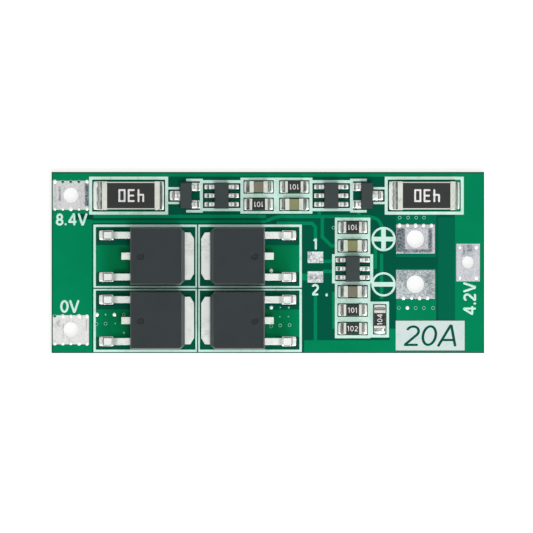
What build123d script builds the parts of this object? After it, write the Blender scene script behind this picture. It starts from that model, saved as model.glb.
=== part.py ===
from build123d import *
import os

os.makedirs("parts", exist_ok=True)

# Two-cell lithium battery management board: a bare printed circuit board with five drilled wire terminals,
# four power transistors, two bleed resistors with their switching transistors and cell balancing chips,
# one protection chip and the small resistors and capacitors around them.
#
# Millimetres. The origin is the centre of the board's underside, +X runs to the mid-cell terminal, +Z is up
# out of the component side. The plan is laid out from the board's lower left corner and moved at the end.

# Board and its skins
BOARD_THICKNESS = 1.0
FOIL = 0.07                 # copper, let into the board's face
TIN_RISE = 0.03             # tin standing proud of the mask on the component side
PLATING = 0.16              # wall of a plated hole, copper and the solder drawn into it
INK = 0.03                  # printed legend
SOLDER_FILM = 0.06          # solder under a terminal or a foot
COPPER_INSET = 0.12         # copper kept back from the board's edge

# Wire terminals
EDGE_PAD_LENGTH = 3.96      # the two terminals at the left end
EDGE_PAD_WIDTH = 3.18
EDGE_PAD_GAP = 0.12         # from the left edge
EDGE_PAD_INSET = 0.96       # from the top and the bottom edge
EDGE_HOLE_R = 0.82
MID_PAD_LENGTH = 2.6        # the terminal between the cells, at the right end
MID_PAD_WIDTH = 4.13
MID_PAD_GAP = 0.46          # from the right edge
MID_HOLE_R = 0.66
OUTPUT_PAD_LENGTH = 4.25
OUTPUT_PAD_WIDTH = 3.17
OUTPUT_PAD_SPACE = 1.79     # between the plus and the minus terminal
OUTPUT_HOLE_R = 0.965
OUTPUT_TO_MID = 2.33
DIMPLE_R = 0.2              # solder-filled stitching hole
DIMPLE_SIDES = 8
DIMPLE_DEPTH = 0.04
DIMPLE_PITCH = 0.88
DIMPLE_EDGE = 0.1           # from the row's centre line to the terminal's edge

# Test pads
TEST_PAD_LENGTH = 1.72
TEST_PAD_WIDTH = 1.25
TEST_PAD_SPACE = 0.9
TEST_PAD_DROP = 0.5         # below the middle of the board
BANK_TO_TEST = 0.62
TEST_TO_COLUMN = 0.97

# Power transistors with a drain tab and two gull-wing leads
MOSFET_LENGTH = 6.0
MOSFET_WIDTH = 6.35
MOSFET_HEIGHT = 2.3
MOSFET_PARTING = 1.0        # height of the mould's parting plane over the seat
MOSFET_DRAFT = 7            # degrees
MOSFET_NOSE = 0.38          # extra slope of the side over the tab
MOSFET_CORNER = 0.5
MOSFET_LIFT = 0.05          # moulding over the seat
TAB_WIDTH = 5.2
TAB_REACH = 1.0
TAB_THICKNESS = 0.5
TAB_CORNER = 0.4            # bevel of the tab's outer corners, along the tab
TAB_SLANT = 0.68            # the same across the tab
TAB_HOLD = 1.8              # moulding between the buried end of the tab and the lead side
LEAD_WIDTH = 0.78
LEAD_THICKNESS = 0.46
LEAD_PITCH = 2.286
LEAD_REACH = 2.9
LEAD_FOOT = 1.0
LEAD_SLOPE = 0.5
LEAD_TANG = 0.9             # buried length
LEAD_BEND = 0.3             # radius at the middle of the strip
STUB_REACH = 0.95
TOE_LAND = 0.5              # land beyond the toe of a foot

# Chips and small transistors, the same moulding with three or six leads
SMALL_HEIGHT = 1.05
SMALL_LIFT = 0.08
SMALL_DRAFT = 8
SMALL_PARTING = 0.5
TRANSISTOR_LENGTH = 1.3     # across, from lead side to lead side
CHIP_LENGTH = 1.6
SMALL_WIDTH = 2.85          # along the row of leads
SMALL_PITCH = 0.95
SMALL_LEAD_WIDTH = 0.4
SMALL_LEAD_THICKNESS = 0.15
SMALL_REACH = 0.6
SMALL_FOOT = 0.35
SMALL_SLOPE = 0.1
SMALL_TANG = 0.25
SMALL_TOE = 0.45            # land beyond the toe of a chip's lead
TRANSISTOR_TOE = 0.24
TRANSISTOR_LAND = 0.95      # width of a small transistor's land

# Bleed resistors
BLEED_LENGTH = 6.35
BLEED_WIDTH = 3.1
BLEED_HEIGHT = 0.6
BLEED_CAP = 0.58            # end cap on the top face
BLEED_FILLET = 0.68
BLEED_SHIFT = 0.25          # the part sits this far to the right on its lands
CAP_WALL = 0.04
COAT = 0.04                 # overcoat above the ceramic
COAT_MARGIN = 0.17          # bare ceramic along each long side

# Small resistors and capacitors
CHIP_PART_LENGTH = 2.0
CHIP_PART_WIDTH = 1.25
RESISTOR_HEIGHT = 0.5
RESISTOR_CAP = 0.3
CAPACITOR_HEIGHT = 0.85
CAPACITOR_CAP = 0.47
CHIP_FILLET = 0.55
FILLET_SHARE = 0.62         # how far up the end the solder climbs
SOLDER_KNEE = 0.36          # where a solder fillet turns, as a share of its length and of its height

# Printed legend
LINE_BOLD = 0.33
LINE_MOSFET = 0.26
LINE_SHARED = 0.17          # a power transistor's frame, on the sides that face the others
LINE_THIN = 0.28
BAR_WIDE = 0.58             # between two windows side by side
BAR_COLUMN = 0.55           # between two windows of the column
BAR_NARROW = 0.44
LOAD_GAP = 0.14             # from solder to the bleed resistor's frame
LOAD_SIDE_GAP = 0.2
PART_GAP = 0.11             # from solder to a small part's window
MOSFET_TOE_GAP = 0.36
MOSFET_TAB_GAP = 0.06
MOSFET_SIDE_GAP = 0.02
LINE_CHIP = 0.23            # ends of the protection chip's frame
CHIP_OVER_LINE = 0.06       # how far a chip's case reaches over the lines at its ends
SMALL_LAND_GAP = 0.07
BRACKET_HEIGHT = 3.7
BRACKET_ARM = 1.5
GUARD_GAP = 0.07
GUARD_SPACE = 1.36
GUARD_LINE = 0.25
SIGN_R = 1.33
SIGN_LINE = 0.23
SIGN_BAR = 0.5
PLATE_LENGTH = 7.55
PLATE_WIDTH = 3.25
PLATE_INSET = 0.29          # from the bottom edge

# Spaces of the plan
PAD_TO_BANK = 0.5
BANK_SPACE = 0.14
BANK_EDGE = 0.11            # from the bottom edge
ROW_EDGE = 0.51             # from the top edge to the top row's frames
ROW_TO_BANK = 1.09
PAD_TO_ROW = 0.03           # from the upper left terminal to the first frame of the top row
ROW_END = 2.15
TRANSISTOR_GAP = 0.47       # from the bleed resistor's frame to the small transistor's solder
BRACKET_GAP = 0.02          # from its solder to the bracket
CHIP_GAP = 0.21             # from a chip's solder to the bracket and to the middle block
COLUMN_TO_SIGN = 1.14
SIGN_TO_OUTPUT = 0.04
COLUMN_RISE = 0.71          # of the column's top over the banks' top
CHIP_STACK_SPACE = 0.18     # between the protection chip's frame and the windows near it
TRACK = 0.38
LANE_PITCH = 0.55
PATCH_LENGTH = 3.7          # copper shown between the two leads of a power transistor
PATCH_WIDTH = 3.0
PATCH_DROP = 0.28           # below the transistor's middle


class Zone:
    """A rectangle of the plan."""

    def __init__(self, x0, x1, y0, y1):
        self.x0, self.x1, self.y0, self.y1 = x0, x1, y0, y1
        self.cx, self.cy = (x0 + x1) / 2, (y0 + y1) / 2

    def grown(self, dx, dy=None):
        dy = dx if dy is None else dy
        return Zone(self.x0 - dx, self.x1 + dx, self.y0 - dy, self.y1 + dy)

    def face(self):
        return Pos(self.cx, self.cy) * Rectangle(self.x1 - self.x0, self.y1 - self.y0)

    def block(self, z0, z1):
        return Pos(0, 0, z0) * extrude(self.face(), z1 - z0)


def centred(cx, cy, length, width):
    """A zone given by its centre and its size."""
    return Zone(cx - length / 2, cx + length / 2, cy - width / 2, cy + width / 2)


# Sizes that follow from the ones above
seat = BOARD_THICKNESS + SOLDER_FILM

mosfet_frame_length = (2 * LINE_MOSFET + MOSFET_TOE_GAP + TOE_LAND + LEAD_REACH
                       + MOSFET_LENGTH + TAB_REACH + MOSFET_TAB_GAP)
mosfet_frame_width = MOSFET_WIDTH + 2 * (LINE_MOSFET + MOSFET_SIDE_GAP)
load_frame_length = BLEED_LENGTH + 2 * (BLEED_FILLET + LOAD_GAP + LINE_BOLD)
load_frame_width = BLEED_WIDTH + 2 * (LOAD_SIDE_GAP + LINE_BOLD)
window_length = CHIP_PART_LENGTH + 2 * (CHIP_FILLET + PART_GAP)
window_width = CHIP_PART_WIDTH + 2 * PART_GAP
column_length = window_length + 2 * LINE_THIN
chip_frame_length = CHIP_LENGTH + 2 * (SMALL_REACH + SMALL_TOE + SMALL_LAND_GAP + LINE_BOLD)
chip_frame_width = SMALL_WIDTH + 2 * (LINE_CHIP - CHIP_OVER_LINE)
block_length = 2 * window_length + BAR_WIDE + 2 * LINE_BOLD
block_width = 2 * window_width + BAR_NARROW + 2 * LINE_THIN
transistor_offset = TRANSISTOR_GAP + TRANSISTOR_TOE + SMALL_REACH + TRANSISTOR_LENGTH / 2
transistor_zone = 2 * transistor_offset - TRANSISTOR_GAP + BRACKET_GAP
guard_length = transistor_offset - TRANSISTOR_LENGTH / 2 - GUARD_GAP
chip_zone = CHIP_LENGTH + 2 * (SMALL_REACH + SMALL_TOE + CHIP_GAP)

# The plan from left to right: the lower rows, then the top row, and the board takes the longer one
bank_x = [EDGE_PAD_GAP + EDGE_PAD_LENGTH + PAD_TO_BANK]
bank_x.append(bank_x[0] + mosfet_frame_length + BANK_SPACE)
test_x = bank_x[1] + mosfet_frame_length + BANK_TO_TEST
column_x = test_x + TEST_PAD_LENGTH + TEST_TO_COLUMN + chip_frame_length / 2
sign_x = column_x + chip_frame_length / 2 + COLUMN_TO_SIGN
output_x = sign_x + SIGN_R + SIGN_TO_OUTPUT
mid_x = output_x + OUTPUT_PAD_LENGTH + OUTPUT_TO_MID
lower_length = mid_x + MID_PAD_LENGTH + MID_PAD_GAP

row_half = block_length / 2 + chip_zone + LINE_BOLD + transistor_zone + load_frame_length
row_x = EDGE_PAD_GAP + EDGE_PAD_LENGTH + PAD_TO_ROW + row_half
board_length = max(lower_length, row_x + row_half + ROW_END)

# The plan from the bottom up: two rows of power transistors, then the top row
bank_y = [BANK_EDGE, BANK_EDGE + mosfet_frame_width + BANK_SPACE]
bank_top = bank_y[1] + mosfet_frame_width
row_width = max(load_frame_width, BRACKET_HEIGHT, block_width)
row_y = bank_top + ROW_TO_BANK + row_width / 2
board_width = row_y + row_width / 2 + ROW_EDGE
board = Zone(0, board_length, 0, board_width)

# Terminals
edge_x = EDGE_PAD_GAP + EDGE_PAD_LENGTH / 2
output_top = bank_top - OUTPUT_PAD_WIDTH / 2
edge_y = EDGE_PAD_INSET + EDGE_PAD_WIDTH / 2
high_zone = centred(edge_x, board_width - edge_y, EDGE_PAD_LENGTH, EDGE_PAD_WIDTH)
zero_zone = centred(edge_x, edge_y, EDGE_PAD_LENGTH, EDGE_PAD_WIDTH)
mid_zone = centred(mid_x + MID_PAD_LENGTH / 2, board_width / 2, MID_PAD_LENGTH, MID_PAD_WIDTH)
plus_zone = centred(output_x + OUTPUT_PAD_LENGTH / 2, output_top, OUTPUT_PAD_LENGTH, OUTPUT_PAD_WIDTH)
minus_zone = centred(plus_zone.cx, output_top - OUTPUT_PAD_WIDTH - OUTPUT_PAD_SPACE,
                     OUTPUT_PAD_LENGTH, OUTPUT_PAD_WIDTH)

# The column of small parts right of the test pads, from its top down
column_y = [bank_top + COLUMN_RISE - LINE_THIN - window_width / 2]
column_y.append(column_y[0] - window_width - BAR_COLUMN)
protection_y = column_y[1] - window_width / 2 - CHIP_STACK_SPACE - chip_frame_width / 2
column_y.append(protection_y - chip_frame_width / 2 - CHIP_STACK_SPACE - window_width / 2)
column_y.append(column_y[2] - window_width - BAR_COLUMN)
column_y.append(column_y[3] - window_width - BAR_COLUMN)
side_part_x = column_x + window_length / 2 + BAR_WIDE + window_width / 2
side_part_y = (column_y[3] + column_y[4]) / 2

# The four windows in the middle of the top row
block_dx = (window_length + BAR_WIDE) / 2
block_dy = (window_width + BAR_NARROW) / 2


def strip(points, thickness, width, bend=0.0):
    """A flat strip bent in the XZ plane, its middle line through the points, with rounded or sharp bends."""
    corners = [(x, 0, z) for x, z in points]
    path = FilletPolyline(*corners, radius=bend) if bend else Polyline(*corners)
    section = Plane(origin=path @ 0, x_dir=(0, 1, 0), z_dir=path % 0) * Rectangle(width, thickness)
    return sweep(section, path=path, transition=Transition.TRANSFORMED if bend else Transition.RIGHT)


def gull_wing(body_end, parting, thickness, width, reach, foot, slope, tang, bend=0.0):
    """A lead that leaves the moulding level, drops and ends in a flat foot on the seat."""
    low = thickness / 2
    points = [
        (body_end - tang, parting),
        (body_end + reach - foot - slope, parting),
        (body_end + reach - foot, low),
        (body_end + reach, low),
    ]
    return strip(points, thickness, width, bend)


def moulding(length, width, height, parting, draft, lift, corner=0.0):
    """A moulded case, widest at the parting plane, with two bevelled corners on the -X side if asked."""
    plan = Rectangle(length, width)
    if corner:
        plan = chamfer(plan.vertices().group_by(Axis.X)[0], corner)
    upper = Pos(0, 0, parting) * extrude(plan, height - parting, taper=draft)
    lower = Pos(0, 0, parting) * extrude(plan, lift - parting, taper=draft)
    return upper + lower


def solder_end(under, beyond, width, rise):
    """Solder below a terminal and up its end face, which stands at x = 0 with the part on the -X side."""
    lip = SOLDER_FILM / 2
    top = SOLDER_FILM + rise
    knee = (SOLDER_KNEE * beyond, lip + SOLDER_KNEE * (top - lip))
    profile = Plane.XZ * Polygon((0, top), (0, SOLDER_FILM), (-under, SOLDER_FILM), (-under, 0), (beyond, 0),
                                 (beyond, lip), knee, align=None)
    return Pos(0, width / 2, BOARD_THICKNESS) * extrude(profile, width, dir=(0, -1, 0))


def placed(shape, x, y, turn=0, z=seat):
    """A part built at the origin, turned about Z and set down on the board."""
    return Pos(x, y, z) * Rot(0, 0, turn) * shape


def joined(shapes):
    """Separate solids kept in one node."""
    return Compound(children=[solid for shape in shapes for solid in shape.solids()])


nodes = {}
solder = []


# Terminals: a tinned land on each face, one plated hole between them and rows of stitching holes
def dimple_rows(zone, count, rows):
    """Centres of the stitching holes along a terminal's long edges."""
    reach = (zone.y1 - zone.y0) / 2 - DIMPLE_EDGE
    first = -(count - 1) / 2 * DIMPLE_PITCH
    return [(zone.cx + first + i * DIMPLE_PITCH, zone.cy + row * reach) for row in rows for i in range(count)]


def corner_dimples(zone):
    """Centres of the four stitching holes at the corners of the mid-cell terminal."""
    dx = (zone.x1 - zone.x0) / 2 - 2 * DIMPLE_R
    dy = (zone.y1 - zone.y0) / 2 - 2 * DIMPLE_R
    return [(zone.cx + sx * dx, zone.cy + sy * dy) for sx in (-1, 1) for sy in (-1, 1)]


terminals = {
    "high_terminal": (high_zone, EDGE_HOLE_R, dimple_rows(high_zone, 5, (1, -1))),
    "zero_terminal": (zero_zone, EDGE_HOLE_R, dimple_rows(zero_zone, 5, (1, -1))),
    "mid_terminal": (mid_zone, MID_HOLE_R, corner_dimples(mid_zone)),
    "output_plus_terminal": (plus_zone, OUTPUT_HOLE_R, dimple_rows(plus_zone, 5, (1,))),
    "output_minus_terminal": (minus_zone, OUTPUT_HOLE_R, dimple_rows(minus_zone, 4, (-1,))),
}


def terminal(zone, hole_r, dimples):
    """Both lands and the barrel of one terminal, as a single plated piece."""
    shape = zone.block(0, FOIL) + zone.block(BOARD_THICKNESS - FOIL, BOARD_THICKNESS + TIN_RISE)
    shape += extrude(Pos(zone.cx, zone.cy) * Circle(hole_r + PLATING), BOARD_THICKNESS)
    shape -= extrude(Pos(zone.cx, zone.cy) * Circle(hole_r), BOARD_THICKNESS + TIN_RISE)
    mouths = Sketch() + [Pos(x, y) * RegularPolygon(DIMPLE_R, DIMPLE_SIDES) for x, y in dimples]
    return shape - Pos(0, 0, BOARD_THICKNESS + TIN_RISE - DIMPLE_DEPTH) * extrude(mouths, DIMPLE_DEPTH)


for name, (zone, hole_r, dimples) in terminals.items():
    nodes[name] = terminal(zone, hole_r, dimples)

test_y = board_width / 2 - TEST_PAD_DROP
test_step = (TEST_PAD_WIDTH + TEST_PAD_SPACE) / 2
test_cx = test_x + TEST_PAD_LENGTH / 2
test_zones = [centred(test_cx, test_y + side * test_step, TEST_PAD_LENGTH, TEST_PAD_WIDTH)
              for side in (1, -1)]
nodes["test_pads"] = joined([z.block(BOARD_THICKNESS - FOIL, BOARD_THICKNESS + TIN_RISE) for z in test_zones])


# Copper under the mask: pours at the edges and the terminals, and the tracks between the parts
def track(*points, width=TRACK, cut=0.4):
    """A copper track through the points, its corners cut across."""
    corners = [Vector(*point) for point in points]
    path = corners[:1]
    for before, corner, after in zip(corners, corners[1:], corners[2:]):
        path += [corner + (other - corner).normalized() * cut for other in (before, after)]
    line = Polyline(*path, corners[-1])
    return sweep(line.perpendicular_line(width, 0), path=line, transition=Transition.RIGHT)


plate_zone = Zone(output_x - SIGN_TO_OUTPUT, output_x - SIGN_TO_OUTPUT + PLATE_LENGTH,
                  PLATE_INSET, PLATE_INSET + PLATE_WIDTH)
inner = board.grown(-COPPER_INSET)
row_bottom = row_y - row_width / 2
column_left, column_right = column_x - column_length / 2, column_x + column_length / 2
column_bottom = column_y[4] - window_width / 2 - LINE_BOLD
pour_edge = plus_zone.x1 + BANK_SPACE

pours = [
    Zone(inner.x0, bank_x[0] - BANK_SPACE, inner.y0, inner.y1),
    Zone(inner.x0, inner.x1, row_y + row_width / 2, inner.y1),
    Zone(mid_x - BANK_SPACE, inner.x1, inner.y0, inner.y1),
    Zone(test_x - TRACK, mid_x, inner.y0, column_bottom - TRACK / 2),
    Zone(side_part_x + window_width / 2 + LINE_BOLD, plate_zone.x0, inner.y0, column_y[4]),
    Zone(plus_zone.x0, pour_edge, plus_zone.y0 - TRACK, row_bottom),
    Zone(minus_zone.x0, pour_edge, plate_zone.y1, minus_zone.y1 + BANK_SPACE),
]
bank_end = bank_x[1] + mosfet_frame_length
for x0 in (bank_x[0] + LINE_MOSFET, bank_end - LINE_MOSFET - PATCH_LENGTH):
    for y in bank_y:
        middle = y + mosfet_frame_width / 2 - PATCH_DROP
        pours.append(Zone(x0, x0 + PATCH_LENGTH, middle - PATCH_WIDTH / 2, middle + PATCH_WIDTH / 2))

# The lanes between the top row and the power transistors
upper_lane = row_bottom - TRACK / 2
middle_lane = upper_lane - LANE_PITCH
lower_lane = middle_lane - TRACK / 2
lane_start, lane_step = bank_x[0] - 2 * TRACK, row_x - 3 * TRACK
chip_side = column_x + chip_frame_length / 2 + LINE_CHIP
sign_track = sign_x - SIGN_LINE
tracks = [
    track((lane_start, upper_lane), (lane_step, upper_lane)),
    track((lane_start, middle_lane), (lane_step, middle_lane), (row_x, upper_lane),
          (sign_x - SIGN_R, upper_lane), (sign_track, middle_lane), (sign_track, plus_zone.cy)),
    track((row_x, lower_lane), (test_cx, lower_lane), (test_cx, test_zones[0].y1 + TEST_PAD_WIDTH)),
    track((test_cx + 2 * TRACK, upper_lane), (test_cx + 2 * TRACK, column_y[1]), (column_left, column_y[1]),
          cut=1.0),
    track((test_cx, test_zones[1].y0 - TEST_PAD_WIDTH), (test_cx, column_bottom - TRACK)),
    track((test_zones[0].x1, test_zones[0].y0 + TRACK / 2), (column_left, test_zones[0].y0 + TRACK / 2)),
    track((test_zones[1].x1, test_zones[1].y1), (column_left, test_zones[1].y1)),
    track((bank_end, test_zones[1].cy), (test_x, test_zones[1].cy), width=2 * TRACK),
    track((sign_track, plus_zone.y0), (sign_track, minus_zone.y0)),
    track((chip_side, column_y[1]), (chip_side, protection_y)),
    track((column_left - TRACK / 3, column_y[2]), (column_left - TRACK / 3, column_y[4])),
]
block_end = row_x + block_length / 2
for x in (block_end + 2 * TRACK, block_end + chip_zone + 2.5 * TRACK):
    tracks.append(track((x, upper_lane), (x, row_y - SMALL_WIDTH / 2)))

exposed = Sketch() + [z.face() for z in (high_zone, zero_zone, mid_zone, plus_zone, minus_zone, *test_zones)]
copper_plan = (Sketch() + [z.face() for z in pours] + tracks) - exposed
foil_z = BOARD_THICKNESS - FOIL
copper = Pos(0, 0, foil_z) * extrude(copper_plan, FOIL)
nodes["masked_copper"] = joined([copper])

laminate = board.block(0, BOARD_THICKNESS)
laminate -= copper
for zone in test_zones:
    laminate -= zone.block(foil_z, BOARD_THICKNESS)
for zone, hole_r, _ in terminals.values():
    laminate -= [zone.block(0, FOIL), zone.block(foil_z, BOARD_THICKNESS)]
    laminate -= extrude(Pos(zone.cx, zone.cy) * Circle(hole_r + PLATING), BOARD_THICKNESS)
nodes["circuit_board"] = laminate


# Printed legend: frames round the parts, the two polarity signs and the plate for the rating
def framed(outside, windows):
    """A printed frame: its outline less its windows."""
    return outside.face() - [w.face() for w in windows]


def window(x, y, upright=False):
    length, width = (window_width, window_length) if upright else (window_length, window_width)
    return centred(x, y, length, width)


frames = Sketch()
near_lines, far_lines = (LINE_MOSFET, LINE_SHARED), (LINE_SHARED, LINE_MOSFET)
for x, left, right in zip(bank_x, near_lines, far_lines):
    for y, below, above in zip(bank_y, near_lines, far_lines):
        outside = Zone(x, x + mosfet_frame_length, y, y + mosfet_frame_width)
        inside = Zone(outside.x0 + left, outside.x1 - right, outside.y0 + below, outside.y1 - above)
        frames += framed(outside, [inside])

load_dx = row_half - load_frame_length / 2
bracket_dx = block_length / 2 + chip_zone + LINE_BOLD / 2
for side in (-1, 1):
    outside = centred(row_x + side * load_dx, row_y, load_frame_length, load_frame_width)
    frames += framed(outside, [outside.grown(-LINE_BOLD)])
    bracket_x = row_x + side * bracket_dx
    frames += centred(bracket_x, row_y, LINE_BOLD, BRACKET_HEIGHT).face()
    chip_x = row_x + side * (block_length + chip_zone) / 2
    guard_x = row_x + side * (row_half - load_frame_length - guard_length / 2)
    for up in (-1, 1):
        arm_y = row_y + up * (BRACKET_HEIGHT - LINE_THIN) / 2
        arm_x = bracket_x + side * (BRACKET_ARM + LINE_BOLD) / 2
        frames += centred(arm_x, arm_y, BRACKET_ARM, LINE_THIN).face()
        line_y = row_y + up * (SMALL_WIDTH / 2 - CHIP_OVER_LINE + LINE_BOLD / 2)
        frames += centred(chip_x, line_y, chip_zone, LINE_BOLD).face()
        guard_y = row_y + up * (GUARD_SPACE + GUARD_LINE) / 2
        frames += centred(guard_x, guard_y, guard_length, GUARD_LINE).face()

frames += framed(centred(row_x, row_y, block_length, block_width),
                 [window(row_x + sx * block_dx, row_y + sy * block_dy) for sx in (-1, 1) for sy in (-1, 1)])

column = Zone(column_left, column_right, column_bottom, column_y[0] + window_width / 2 + LINE_BOLD)
side_window = window(side_part_x, side_part_y, upright=True)
side_frame = Zone(column.x1, side_window.x1 + LINE_THIN,
                  side_window.y0 - LINE_BOLD, side_window.y1 + LINE_THIN)
chip_frame = centred(column_x, protection_y, chip_frame_length, chip_frame_width)
frames += ((column.face() + chip_frame.face() + side_frame.face())
           - [window(column_x, y).face() for y in column_y]
           - [chip_frame.grown(-LINE_BOLD, -LINE_CHIP).face(), side_window.face()])


def sign(y, upright_bar):
    """A polarity sign whose bars end in a ring."""
    bar = 2 * SIGN_R - SIGN_LINE
    shape = Circle(SIGN_R) - Circle(SIGN_R - SIGN_LINE) + Rectangle(bar, SIGN_BAR)
    if upright_bar:
        shape += Rectangle(SIGN_BAR, bar)
    return Pos(sign_x, y) * shape


signs = sign(plus_zone.cy, True) + sign(minus_zone.cy, False)
printed = {
    "legend_frames": frames - signs - plate_zone.face(),
    "polarity_signs": signs,
    "rating_plate": plate_zone.face(),
}
for name, plan in printed.items():
    nodes[name] = joined([Pos(0, 0, BOARD_THICKNESS) * extrude(plan, INK)])


# Power transistors, built with the tab on the -X side and the leads on the +X side
def tab_plan():
    """Outline of the drain tab, its outer corners bevelled."""
    half, side = MOSFET_LENGTH / 2, TAB_WIDTH / 2
    end = -half - TAB_REACH
    outline = [(half - TAB_HOLD, side), (end + TAB_CORNER, side), (end, side - TAB_SLANT)]
    mirrored = [(x, -y) for x, y in reversed(outline)]
    return Polygon(*outline, *mirrored, align=None)


def power_transistor():
    """Case, drain tab with its cropped centre lead, and the two outer leads."""
    half = MOSFET_LENGTH / 2
    case = moulding(MOSFET_LENGTH, MOSFET_WIDTH, MOSFET_HEIGHT, MOSFET_PARTING,
                    MOSFET_DRAFT, MOSFET_LIFT, MOSFET_CORNER)
    nose = Plane.XZ * Polygon((-half, MOSFET_PARTING), (-half, MOSFET_HEIGHT),
                              (-half + MOSFET_NOSE, MOSFET_HEIGHT), align=None)
    case -= Pos(0, MOSFET_WIDTH / 2, 0) * extrude(nose, MOSFET_WIDTH, dir=(0, -1, 0))

    buried = half - TAB_HOLD
    tab = extrude(tab_plan(), TAB_THICKNESS)
    low = TAB_THICKNESS - LEAD_THICKNESS / 2
    rise = MOSFET_PARTING - low
    tab += strip([(buried - rise, low), (buried, low), (buried + rise, MOSFET_PARTING),
                  (half + STUB_REACH, MOSFET_PARTING)], LEAD_THICKNESS, LEAD_WIDTH)

    lead = gull_wing(half, MOSFET_PARTING, LEAD_THICKNESS, LEAD_WIDTH, LEAD_REACH,
                     LEAD_FOOT, LEAD_SLOPE, LEAD_TANG, LEAD_BEND)
    leads = [Pos(0, side * LEAD_PITCH, 0) * lead for side in (-1, 1)]
    return case - tab - leads, tab, leads


case, tab, leads = power_transistor()
toe = solder_end(LEAD_FOOT, TOE_LAND, LEAD_WIDTH, LEAD_THICKNESS / 2)
tab_side = LINE_MOSFET + MOSFET_TAB_GAP + TAB_REACH + MOSFET_LENGTH / 2
number = 0
for x, turn in ((bank_x[0] + mosfet_frame_length - tab_side, 180), (bank_x[1] + tab_side, 0)):
    for y0 in reversed(bank_y):
        y = y0 + mosfet_frame_width / 2
        number += 1
        nodes[f"mosfet_{number}_case"] = placed(case, x, y, turn)
        nodes[f"mosfet_{number}_drain_tab"] = placed(tab, x, y, turn)
        nodes[f"mosfet_{number}_leads"] = joined([placed(lead, x, y, turn) for lead in leads])
        film = Pos(0, 0, BOARD_THICKNESS) * extrude(tab_plan(), SOLDER_FILM)
        solder.append(placed(film, x, y, turn, 0))
        for side in (-1, 1):
            tip = Pos(MOSFET_LENGTH / 2 + LEAD_REACH, side * LEAD_PITCH, 0) * toe
            solder.append(placed(tip, x, y, turn, 0))


# Small moulded parts: leads at the given places on the +X side and on the -X side
def small_part(length, right, left, toe, land):
    """Case, leads and solder of a small transistor or a chip."""
    case = moulding(length, SMALL_WIDTH, SMALL_HEIGHT, SMALL_PARTING, SMALL_DRAFT, SMALL_LIFT)
    lead = gull_wing(length / 2, SMALL_PARTING, SMALL_LEAD_THICKNESS, SMALL_LEAD_WIDTH, SMALL_REACH,
                     SMALL_FOOT, SMALL_SLOPE, SMALL_TANG)
    tip = Pos(length / 2 + SMALL_REACH, 0, 0) * solder_end(SMALL_FOOT, toe, land, SMALL_LEAD_THICKNESS)
    spots = [(y, 0) for y in right] + [(y, 180) for y in left]
    leads = [Pos(0, y, 0) * Rot(0, 0, turn) * lead for y, turn in spots]
    tips = [Pos(0, y, 0) * Rot(0, 0, turn) * tip for y, turn in spots]
    return case - leads, leads, tips


def add_small_part(name, x, y, turn, parts):
    case, leads, tips = parts
    nodes[f"{name}_case"] = placed(case, x, y, turn)
    nodes[f"{name}_leads"] = joined([placed(lead, x, y, turn) for lead in leads])
    solder.extend(placed(tip, x, y, turn, 0) for tip in tips)


three = (-SMALL_PITCH, 0, SMALL_PITCH)
transistor = small_part(TRANSISTOR_LENGTH, (-SMALL_PITCH, SMALL_PITCH), (0,), TRANSISTOR_TOE, TRANSISTOR_LAND)
chip = small_part(CHIP_LENGTH, three, three, SMALL_TOE, SMALL_LEAD_WIDTH)
transistor_dx = row_half - load_frame_length - transistor_offset
chip_dx = (block_length + chip_zone) / 2
add_small_part("transistor_1", row_x - transistor_dx, row_y, 0, transistor)
add_small_part("transistor_2", row_x + transistor_dx, row_y, 180, transistor)
add_small_part("balance_chip_1", row_x - chip_dx, row_y, 0, chip)
add_small_part("balance_chip_2", row_x + chip_dx, row_y, 0, chip)
add_small_part("protection_chip", column_x, protection_y, 0, chip)


# Chip resistors and capacitors: a ceramic body between two wrapped end caps
def end_caps(length, width, height, reach):
    """Two plated caps wrapped round the ends of a ceramic body, and the body that fills them."""
    half = length / 2
    core = Zone(-half + CAP_WALL, half - CAP_WALL, -width / 2 + CAP_WALL, width / 2 - CAP_WALL)
    core = core.block(CAP_WALL, height - CAP_WALL)
    ends = [centred(side * (half - reach / 2), 0, reach, width) for side in (-1, 1)]
    return core, [end.block(0, height) - core for end in ends]


def chip_part(length, width, height, reach, fillet, shift=0.0):
    """Body, caps and solder of a two-ended part, which may sit off the middle of its lands."""
    core, caps = end_caps(length, width, height, reach)
    ends = [Rot(0, 0, turn) * Pos(length / 2, 0, 0) * solder_end(reach, beyond, width, FILLET_SHARE * height)
            for turn, beyond in ((0, fillet - shift), (180, fillet + shift))]
    return core, caps, ends


def add_chip_part(name, x, y, turn, parts):
    core, caps, ends = parts
    nodes[f"{name}_body"] = placed(core, x, y, turn)
    nodes[f"{name}_caps"] = joined([placed(cap, x, y, turn) for cap in caps])
    solder.extend(placed(end, x, y, turn, 0) for end in ends)


bleed = chip_part(BLEED_LENGTH, BLEED_WIDTH, BLEED_HEIGHT, BLEED_CAP, BLEED_FILLET, BLEED_SHIFT)
coat_plan = centred(0, 0, BLEED_LENGTH - 2 * BLEED_CAP, BLEED_WIDTH - 2 * COAT_MARGIN)
coat = coat_plan.block(BLEED_HEIGHT - CAP_WALL, BLEED_HEIGHT - CAP_WALL + COAT)
for number, side in ((1, -1), (2, 1)):
    x = row_x + side * load_dx + BLEED_SHIFT
    add_chip_part(f"bleed_resistor_{number}", x, row_y, 0, bleed)
    nodes[f"bleed_resistor_{number}_coat"] = placed(coat, x, row_y)

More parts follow.
